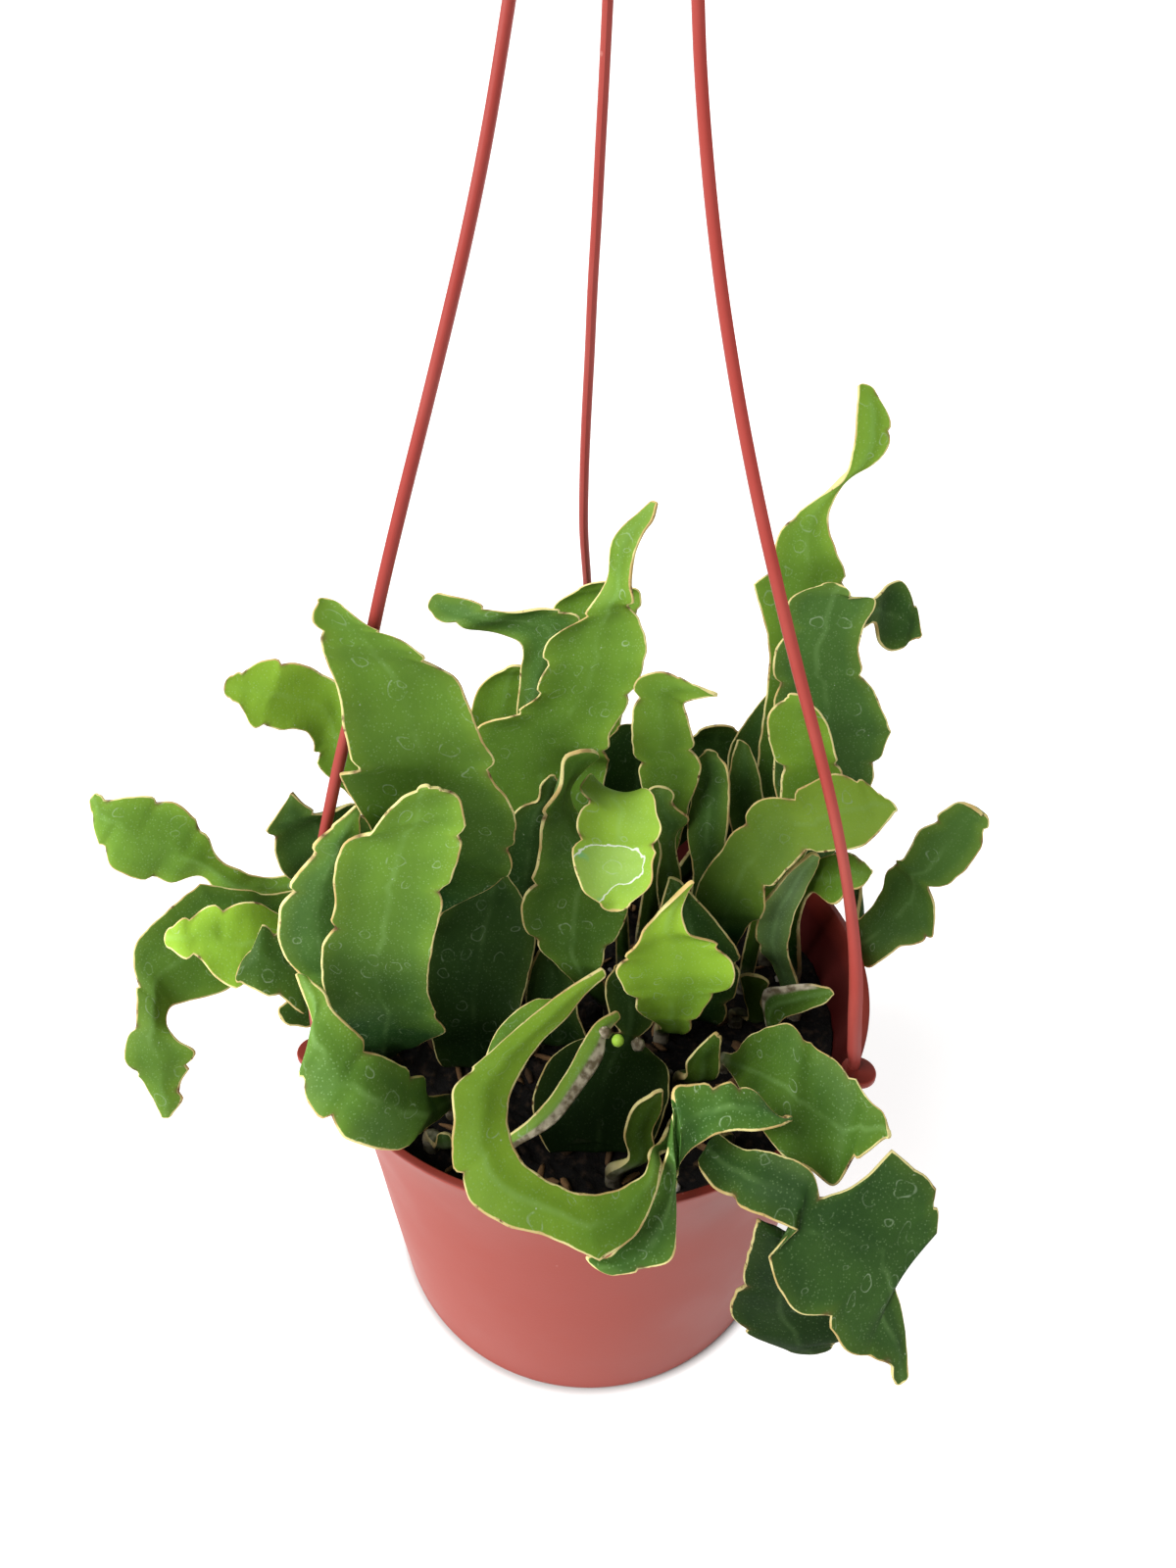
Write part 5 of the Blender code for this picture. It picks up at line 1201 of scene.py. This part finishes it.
def blade_surface(blade, number):
    """One stem as a closed skin. Each section runs from the left edge over the front to the right edge and
    home over the back: a line between two edge curves, lifted to a crown by the cup, waved near the margins,
    and thickened by a half-thickness that is round at the margin and swells at the rib."""
    draw = np.random.default_rng(1000 + number)
    left, right, grown, knots = notched_edges(blade, draw)
    left, right, end = rounded_end(left, right)
    grown = np.pad(grown, ((0, len(TIP_TURNS)), (0, 0)), "edge")
    knots = [np.pad(knot, (0, len(TIP_TURNS)))[:, None] for knot in knots]

    middle = (left + right) / 2
    run = run_along(middle)[:, None]
    width = np.linalg.norm(right - left, axis=1)[:, None]
    facing = facings(middle, right - left)[:, None, :]
    x = columns(width)
    side = 2 * x / width - 1
    margin = np.minimum(np.minimum(x, width - x), run[-1] + TIP_POLE - run)
    crown = blade.cup * grown * np.clip(width / CROWN_WIDTH, 0, 1) * (1 - np.abs(side) ** CROWN_POWER)
    sways = [ripple(run[:, 0], SWAY_LENGTH, draw)[:, None] for _ in range(2)]
    crown += SWAY * np.clip(width / SWAY_WIDTH, 0, 1) * grown * side**2 * np.where(side < 0, *sways)
    thick = half_thickness(x, width, margin, run, grown)
    line = left[:, None, :] + (right - left)[:, None, :] * (x / width)[..., None]
    front = line + facing * (crown + thick)[..., None]
    back = line + facing * (crown - thick)[..., None]
    home = slice(-2, 0, -1)
    grid = np.concatenate([front, back[:, home]], 1)

    # The third value is the shade factor, partly the stem's own depth of colour and partly painted shade
    foot, tip, light = blade.skin
    share = np.clip(run / run[-1], 0, 1) + 0 * x
    fields = {
        "across": x - width / 2,
        "along": run + 0 * x + SKIN_APART * number,
        "margin": margin,
        "youth": foot + (tip - foot) * (share * share * (3 - 2 * share)),
        "knot": np.clip(np.where(side < 0, *knots) * np.exp(-((margin / KNOT_REACH) ** 2)), 0, 1),
        "wood": corkiness(blade, run, side, share),
        "film": film_distance(blade, x - width / 2, run),
        # The shade factor: the stem's listed factor, partly painted shade, times the painted shade of the
        # crowded clump
        "shade": light * (1 - painted_crowd_shade(line)),
    }
    # Each field of the front goes round the section, and on to both poles
    values = {
        key: np.concatenate([np.hstack([field, field[:, home]]).ravel(), [field[0].mean(), field[-1].mean()]])
        for key, field in fields.items()
    }
    return *closed_tube(grid, grid[0].mean(0), end), values


def knob(centre, radii, wood, shade, number):
    """A small lumpy ball: rings of points from pole to pole, their radius wavering with both turns."""
    slope = np.linspace(0, pi, 14)[1:-1, None]
    turn = np.arange(18) * tau / 18
    swell = 1 + 0.07 * wood * np.sin(3 * turn + 4 * slope) + 0.05 * wood * np.sin(5 * turn - 6 * slope)
    out = np.sin(slope)
    ball = np.stack([out * np.cos(turn), out * np.sin(turn), np.cos(slope) + 0 * turn], -1)
    grid = np.array(centre) + ball * swell[..., None] * np.array(radii)
    poles = np.array(centre) + np.array([(0, 0, radii[2]), (0, 0, -radii[2])])
    points, quads, tris = closed_tube(grid, *poles)
    # It lies clear of the stem's rib, margins and notches
    steady = {"across": 8, "margin": 9, "youth": 1, "knot": 0, "wood": wood, "film": FAR, "shade": shade}
    values = {key: np.full(len(points), float(value)) for key, value in steady.items()}
    values["along"] = points[:, 2] + SKIN_APART * number
    return points, quads, tris, values


# Sizes and colours that a user would change


class CactusSizes(bpy.types.PropertyGroup):
    """Sizes of the pot, and how much lies loose on the potting mix."""

    pot_sides: IntProperty(name="Pot sides", description="Flat stretches round the pot", default=600, min=48)
    wall: FloatProperty(name="Wall", description="Thickness of the pot's wall in mm", default=1.9, min=0.5)
    ear_radius: FloatProperty(name="Ear radius", description="Radius of each ear in mm", default=4.3, min=1.0)
    bark_chips: IntProperty(name="Bark chips", description="Bits of bark on the mix", default=170, min=0)
    perlite: IntProperty(name="Perlite", description="Pale grains on the mix", default=24, min=0)


class CactusColours(bpy.types.PropertyGroup):
    """Colours as red, green and blue hex codes."""

    pot: StringProperty(name="Pot", description="Outer wall of the pot", default="#92372A")
    # The inside of the pot is drawn in this darker red as painted shade, and the rim top half way to it
    pot_shade: StringProperty(name="Pot rim", description="Rim and inside of the pot", default="#430E0D")
    hanger: StringProperty(name="Hanger", description="Strands, hub and hook", default="#9C3E37")


# Operators, one for each group of pieces


def pot_profile(wall):
    """The pot's whole section as radius and height, from the middle of its underside out, up and back in."""
    under = np.stack([np.linspace(0, BASE_RADIUS - 1.2, 40), np.zeros(40)], -1)
    foot = [(BASE_RADIUS - 0.7, 0.0), (BASE_RADIUS - 0.2, 0.12), (BASE_RADIUS + 0.25, 0.6)]
    top = [
        (RIM_RADIUS - 0.1, POT_HEIGHT - 0.15), (RIM_RADIUS - 0.4, POT_HEIGHT),
        (RIM_RADIUS - wall + 0.3, POT_HEIGHT), (RIM_RADIUS - wall, POT_HEIGHT - 0.3),
    ]
    inner = wall_line()[::-1] - (wall, 0)
    inner = inner[(inner[:, 1] < POT_HEIGHT - 1.5) & (inner[:, 1] > FLOOR + 1)]
    last = [(inner[-1, 0] - 0.6, FLOOR + 0.3), (inner[-1, 0] - 1.2, FLOOR), (30, FLOOR), (0, FLOOR)]
    return np.vstack([under, foot, wall_line(), top, inner, last])


def drain_arches(points):
    """The pot's points with the underside lifted by a half ellipse across each drain channel, outside the
    radius of the drain holes."""
    radius = np.hypot(points[:, 0], points[:, 1])
    azimuth = np.degrees(np.arctan2(points[:, 1], points[:, 0]))
    pitch = 360 / DRAINS
    turn = (azimuth - FIRST_DRAIN + pitch / 2) % pitch - pitch / 2
    off = np.abs(np.sin(np.radians(turn))) * radius / DRAIN_HALF_WIDTH
    arch = DRAIN_HEIGHT * np.sqrt(np.clip(1 - off**2, 0, 1)) * (radius > DRAIN_HOLE_AT)
    low = (points[:, 2] < DRAIN_HEIGHT) & (radius < BASE_RADIUS + 2)
    points[:, 2] = np.where(low, np.maximum(points[:, 2], arch), points[:, 2])
    return points


def shade_pot_inside(mesh, wall):
    """Stores how much of the outer colour the pot keeps at each point, the rest being painted shade: all of
    it outside, and inside less and less below the rim.
    """
    flat = np.empty(len(mesh.vertices) * 3)
    mesh.vertices.foreach_get("co", flat)
    x, y, z = flat.reshape(-1, 3).T / MM
    side = wall_line()
    outside = (np.hypot(x, y) > np.interp(z, side[:, 1], side[:, 0]) - wall / 2) & (z < POT_HEIGHT - 0.3)
    inside = np.clip((z - POT_HEIGHT + FADE_DEPTH) / FADE_HEIGHT, 0, 1) * FADE_MOST
    give_value(mesh, "unshaded_share", np.where(outside, 1, inside))


def rod(name, x, y, radius, low, high, sides):
    """An upright rod with slightly rounded ends, as a helper object."""
    soft = min(0.5, (high - low) / 4)
    profile = np.array([
        (0, low), (radius - soft, low), (radius - soft * 0.3, low + soft * 0.3), (radius, low + soft),
        (radius, high - soft), (radius - soft * 0.3, high - soft * 0.3), (radius - soft, high), (0, high),
    ])
    points, quads, tris = turned(profile, sides)
    return new_object(name, points + (x, y, 0), quads, tris)


class PotOperator(bpy.types.Operator):
    """Builds the moulded pot: wall, rim, ears, drain channels and drain holes."""

    bl_idname = "orchid_cactus.pot"
    bl_label = "Pot"

    def execute(self, context):
        sizes, colours = context.scene.cactus_sizes, context.scene.cactus_colours
        points, quads, tris = turned(pot_profile(sizes.wall), sizes.pot_sides)
        pot = new_object("pot_shell", drain_arches(points), quads, tris)
        steps = []
        for ear in range(3):
            x, y = around_axis(EAR_AT, BACK_STRAND + (ear - 1) * EAR_TURN)
            tab = rod(f"ear_{ear}", x, y, sizes.ear_radius, EAR_TOP - EAR_THICK, EAR_TOP, 48)
            steps.append(("UNION", tab))
        for drain in range(DRAINS):
            x, y = around_axis(DRAIN_HOLE_AT, FIRST_DRAIN + drain * 360 / DRAINS)
            hole = rod(f"hole_{drain}", x, y, DRAIN_HOLE_RADIUS, -PASS, FLOOR + PASS, 32)
            steps.append(("DIFFERENCE", hole))
        worked(pot, steps)
        shade_pot_inside(pot.data, sizes.wall)
        pot.data.set_sharp_from_angle(angle=radians(POT_SHARP))
        plastic = moulded_plastic("moulded_pot_plastic", colours.pot, colours.pot_shade, POT_BLOOM)
        finished(pot, ["pot"], plastic)
        return {"FINISHED"}


def strand_line(side):
    """The middle line of one strand, a smooth curve through its listed places, its half-thickness, and the
    direction that lies across it."""
    third = BACK_STRAND + (side - 1) * STRAND_TURN
    away, beside = (np.array(around_axis(1.0, third + turn)) for turn in (0, 90))
    rows = np.array([(*(row[2 + side][0] * away + row[2 + side][1] * beside), *row[:2]) for row in STRAND])
    line = curve_through(rows, even_places(rows[:, :3], STRAND_STEP))
    return line[:, :3], line[:, 3], (*beside, 0)


def hook_shape():
    """The hook: a round wire with a rounded point, up from the hub and round most of a circle."""
    bend = [around_axis(HOOK_RADIUS, turn) for turn in HOOK_TURNS]
    listed = np.array([*HOOK_FOOT, *((x, 0, HOOK_MIDDLE + z) for x, z in bend)], float)
    line = curve_through(listed, even_places(listed, HOOK_STEP))
    wire = np.full(len(line), HOOK_WIRE)
    wire[-len(HOOK_POINT) :] *= HOOK_POINT
    return tube(line, wire, (0, 1, 0), STRAND_SIDES, HOOK_RIDGE)


class HangerOperator(bpy.types.Operator):
    """Builds the moulded hanger: three strands with a mould line, the hub and the hook."""

    bl_idname = "orchid_cactus.hanger"
    bl_label = "Hanger"

    def execute(self, context):
        colours = context.scene.cactus_colours
        hub = new_object("hanger_moulding", *turned(np.array(HUB, float), HUB_SIDES))
        shapes = [tube(*strand_line(side), STRAND_SIDES, STRAND_RIDGE) for side in range(3)]
        shapes.append(hook_shape())
        worked(hub, [("UNION", new_object(f"wire_{wire}", *shape)) for wire, shape in enumerate(shapes)])
        hub.data.set_sharp_from_angle(angle=radians(HANGER_SHARP))
        plastic = moulded_plastic("moulded_hanger_plastic", colours.hanger, colours.hanger, HANGER_BLOOM)
        finished(hub, ["hanger"], plastic)
        return {"FINISHED"}


def mix_height(x, y):
    """The height of the potting mix: two soft fields of lumps and one of finer crumbs, one on another."""
    draw = np.random.default_rng(MIX_SEED)
    return sum((height * lumps(x, y, size, draw) for height, size in MIX_LUMPS), SOIL_TOP - SETTLED)


def scattered(count, radius, draw):
    """Places spread evenly over a disc: the radius goes as the square root of an even draw."""
    reach = radius * np.sqrt(draw.uniform(0.01, 1, count))
    turn = draw.uniform(0, tau, count)
    return reach * np.cos(turn), reach * np.sin(turn)


def crumb_shapes(places, sizes, draw):
    """Loose bits, each a short six-sided barrel of four rings with its corners pushed about, scaled to its
    own length, width and height, turned at random and set down at its place."""
    count = len(places)
    angle = np.arange(6) * tau / 6
    level = np.array([-1, -0.45, 0.45, 1.0])
    swell = np.array([0.55, 1.0, 0.95, 0.5])[:, None]
    base = np.stack([swell * np.cos(angle), swell * np.sin(angle), level[:, None] + 0 * angle], -1)
    body = np.vstack([base.reshape(-1, 3), [(0, 0, -1.05), (0, 0, 1.05)]])
    points = body + draw.uniform(-BITS_ROUGH, BITS_ROUGH, (count, len(body), 3))
    points *= sizes[:, None, :] / 2
    axes = unit(draw.normal(size=(count, 3)) * (1, 1, 0.45))
    second = unit(np.cross(axes, unit(draw.normal(size=(count, 3)))))
    turns = np.stack([second, np.cross(axes, second), axes], -1)
    points = (np.einsum("nij,npj->npi", turns, points) + places[:, None, :]).reshape(-1, 3)
    starts = np.arange(count)[:, None, None] * len(body)
    quads, tris = ((faces + starts).reshape(-1, faces.shape[1]) for faces in tube_faces(4, 6))
    tone = np.repeat(draw.uniform(-0.3, 0.9, count), len(body))
    return points, *outward(points, quads, tris), {"tone": tone}


class MixOperator(bpy.types.Operator):
    """Builds the potting mix: a lumpy plug of peat, with bark and perlite lying on it."""

    bl_idname = "orchid_cactus.mix"
    bl_label = "Potting mix"

    def execute(self, context):
        sizes = context.scene.cactus_sizes
        side = wall_line() - (sizes.wall + SEAT_GAP, 0)
        rim = float(np.interp(SOIL_TOP, side[:, 1], side[:, 0]))
        side = side[(side[:, 1] > FLOOR + 1.5) & (side[:, 1] < SOIL_TOP - 2)]
        flat = np.stack([np.linspace(rim, 0, MIX_RINGS), np.full(MIX_RINGS, SOIL_TOP)], -1)
        low = FLOOR + SEAT_GAP
        points, quads, tris = turned(np.vstack([[(0, low), (side[0, 0] - 0.8, low)], side, flat]), MIX_SIDES)
        top = points[:, 2] > SOIL_TOP - 0.01
        points[:, 2] = np.where(top, mix_height(points[:, 0], points[:, 1]), points[:, 2])
        finished(new_object("peat_mix", points, quads, tris), ["soil"], peat("moist_peat"))

        draw = np.random.default_rng(BITS_SEED)
        bark = chips("shredded_bark", "#140E0A", "#6E5236", 0.85)
        perlite = chips("perlite", "#6E685E", "#B8B2A6", 0.8)
        for name, count, span, material in (
            ("bark_chips", sizes.bark_chips, BARK_SPAN, bark),
            ("perlite_grains", sizes.perlite, PERLITE_SPAN, perlite),
        ):
            x, y = scattered(count, rim - BITS_INSET, draw)
            lengths, widths, heights = (draw.uniform(*limits, count) for limits in span)
            places = np.stack([x, y, mix_height(x, y) + BITS_LIFT], -1)
            shape = crumb_shapes(places, np.stack([heights, widths, lengths], -1), draw)
            finished(new_object(name, *shape), [], material)
        return {"FINISHED"}


class StemsOperator(bpy.types.Operator):
    """Builds every stem as a waxy blade with notched corky margins, each branch joined to its own stem."""

    bl_idname = "orchid_cactus.stems"
    bl_label = "Stems"

    def execute(self, context):
        skins = {key: waxy_skin(f"waxy_{key}_skin", *pair) for key, pair in GREENS.items()}
        numbers = {blade.name: number for number, blade in enumerate(BLADES)}
        for blade in BLADES:
            if blade.name in BRANCHES.values():
                continue
            group = [numbers[name] for name in (blade.name, BRANCHES.get(blade.name)) if name]
            shapes = [blade_surface(BLADES[number], number) for number in group]
            shapes += [knob(*one, numbers[blade.name]) for one in KNOBS.get(blade.name, ())]
            piece = new_object(f"{blade.name}_blade", *joined(shapes))
            finished(piece, [f"stem_{blade.name}"], skins[blade.finish])
        return {"FINISHED"}


def paper_sweep():
    """The points and quads of the paper: flat under the pot, then up behind it in a quarter circle, drawn out
    sideways."""
    bend = np.radians(np.linspace(0, 90, SWEEP_TURNS))
    back = np.array([*PAPER_FRONT, *(SWEEP_AT + SWEEP_RADIUS * np.sin(bend)), SWEEP_AT + SWEEP_RADIUS])
    rise = np.array([0, 0, *(SWEEP_RADIUS * (1 - np.cos(bend))), PAPER_TOP]) - PAPER_DROP
    x = np.linspace(-PAPER_HALF, PAPER_HALF, PAPER_COLUMNS)
    rows = len(back)
    points = np.stack([np.repeat(x, rows), np.tile(back, len(x)), np.tile(rise, len(x))], -1)
    cell = (np.arange(len(x) - 1)[:, None] * rows + np.arange(rows - 1)).ravel()
    return points, np.stack([cell, cell + rows, cell + rows + 1, cell + 1], -1)


def camera_axes():
    """The camera's place and axes as one matrix: pitched below level, then rolled about its line of sight."""
    pitch, roll = radians(CAMERA_PITCH), radians(CAMERA_ROLL)
    ahead = np.array([0, cos(pitch), -sin(pitch)])
    side = np.array([1.0, 0, 0])
    up = np.cross(side, ahead)
    side, up = cos(roll) * side + sin(roll) * up, cos(roll) * up - sin(roll) * side
    return Matrix.Translation(CAMERA_PLACE) @ Matrix(np.stack([side, up, -ahead], -1).tolist()).to_4x4()


class StageOperator(bpy.types.Operator):
    """Sets the paper, the soft light and the camera."""

    bl_idname = "orchid_cactus.stage"
    bl_label = "Stage"

    def execute(self, context):
        scene = context.scene
        points, quads = paper_sweep()
        mesh = bpy.data.meshes.new("floor")
        mesh.from_pydata(points.tolist(), [], quads.tolist())
        mesh.shade_smooth()
        mesh.materials.append(matte_paper("matte_white_paper"))
        floor = bpy.data.objects.new("floor", mesh)
        scene.collection.objects.link(floor)

        world = bpy.data.worlds.new("soft_white")
        world.use_nodes = True
        colour, strength = world.node_tree.nodes["Background"].inputs[:2]
        colour.default_value, strength.default_value = WHITE, SKY
        scene.world = world
        lamp = bpy.data.lights.new("key_light", "SUN")
        lamp.energy, lamp.angle = KEY_STRENGTH, radians(KEY_SPREAD)
        holder = bpy.data.objects.new("key_light", lamp)
        scene.collection.objects.link(holder)
        holder.rotation_euler = Vector(KEY_FROM).to_track_quat("Z", "Y").to_euler()

        lens = bpy.data.cameras.new("camera")
        lens.sensor_fit, lens.sensor_width = "AUTO", 36.0
        lens.lens, lens.clip_start = CAMERA_LENS, 0.01
        camera = bpy.data.objects.new("camera", lens)
        scene.collection.objects.link(camera)
        camera.matrix_world = camera_axes()
        scene.camera = camera
        scene.view_settings.view_transform = "Standard"
        scene.view_settings.look = "None"
        return {"FINISHED"}


GROUPS = (PotOperator, HangerOperator, MixOperator, StemsOperator, StageOperator)


class CactusPanel(bpy.types.Panel):
    """Lists the sizes, the colours and the builders of the pieces."""

    bl_idname = "VIEW3D_PT_orchid_cactus"
    bl_label = "Orchid cactus"
    bl_space_type = "VIEW_3D"
    bl_region_type = "UI"
    bl_category = "Orchid cactus"

    def draw(self, context):
        for group in (context.scene.cactus_sizes, context.scene.cactus_colours):
            for key in group.__annotations__:
                self.layout.prop(group, key)
        for operator in GROUPS:
            self.layout.operator(operator.bl_idname)


CLASSES = (CactusSizes, CactusColours, *GROUPS, CactusPanel)


def register():
    for item in CLASSES:
        bpy.utils.register_class(item)
    bpy.types.Scene.cactus_sizes = bpy.props.PointerProperty(type=CactusSizes)
    bpy.types.Scene.cactus_colours = bpy.props.PointerProperty(type=CactusColours)


def unregister():
    del bpy.types.Scene.cactus_colours
    del bpy.types.Scene.cactus_sizes
    for item in reversed(CLASSES):
        bpy.utils.unregister_class(item)


def main():
    register()
    bpy.ops.orchid_cactus.pot()
    bpy.ops.orchid_cactus.hanger()
    bpy.ops.orchid_cactus.mix()
    bpy.ops.orchid_cactus.stems()
    bpy.ops.orchid_cactus.stage()


if __name__ == "__main__":
    main()
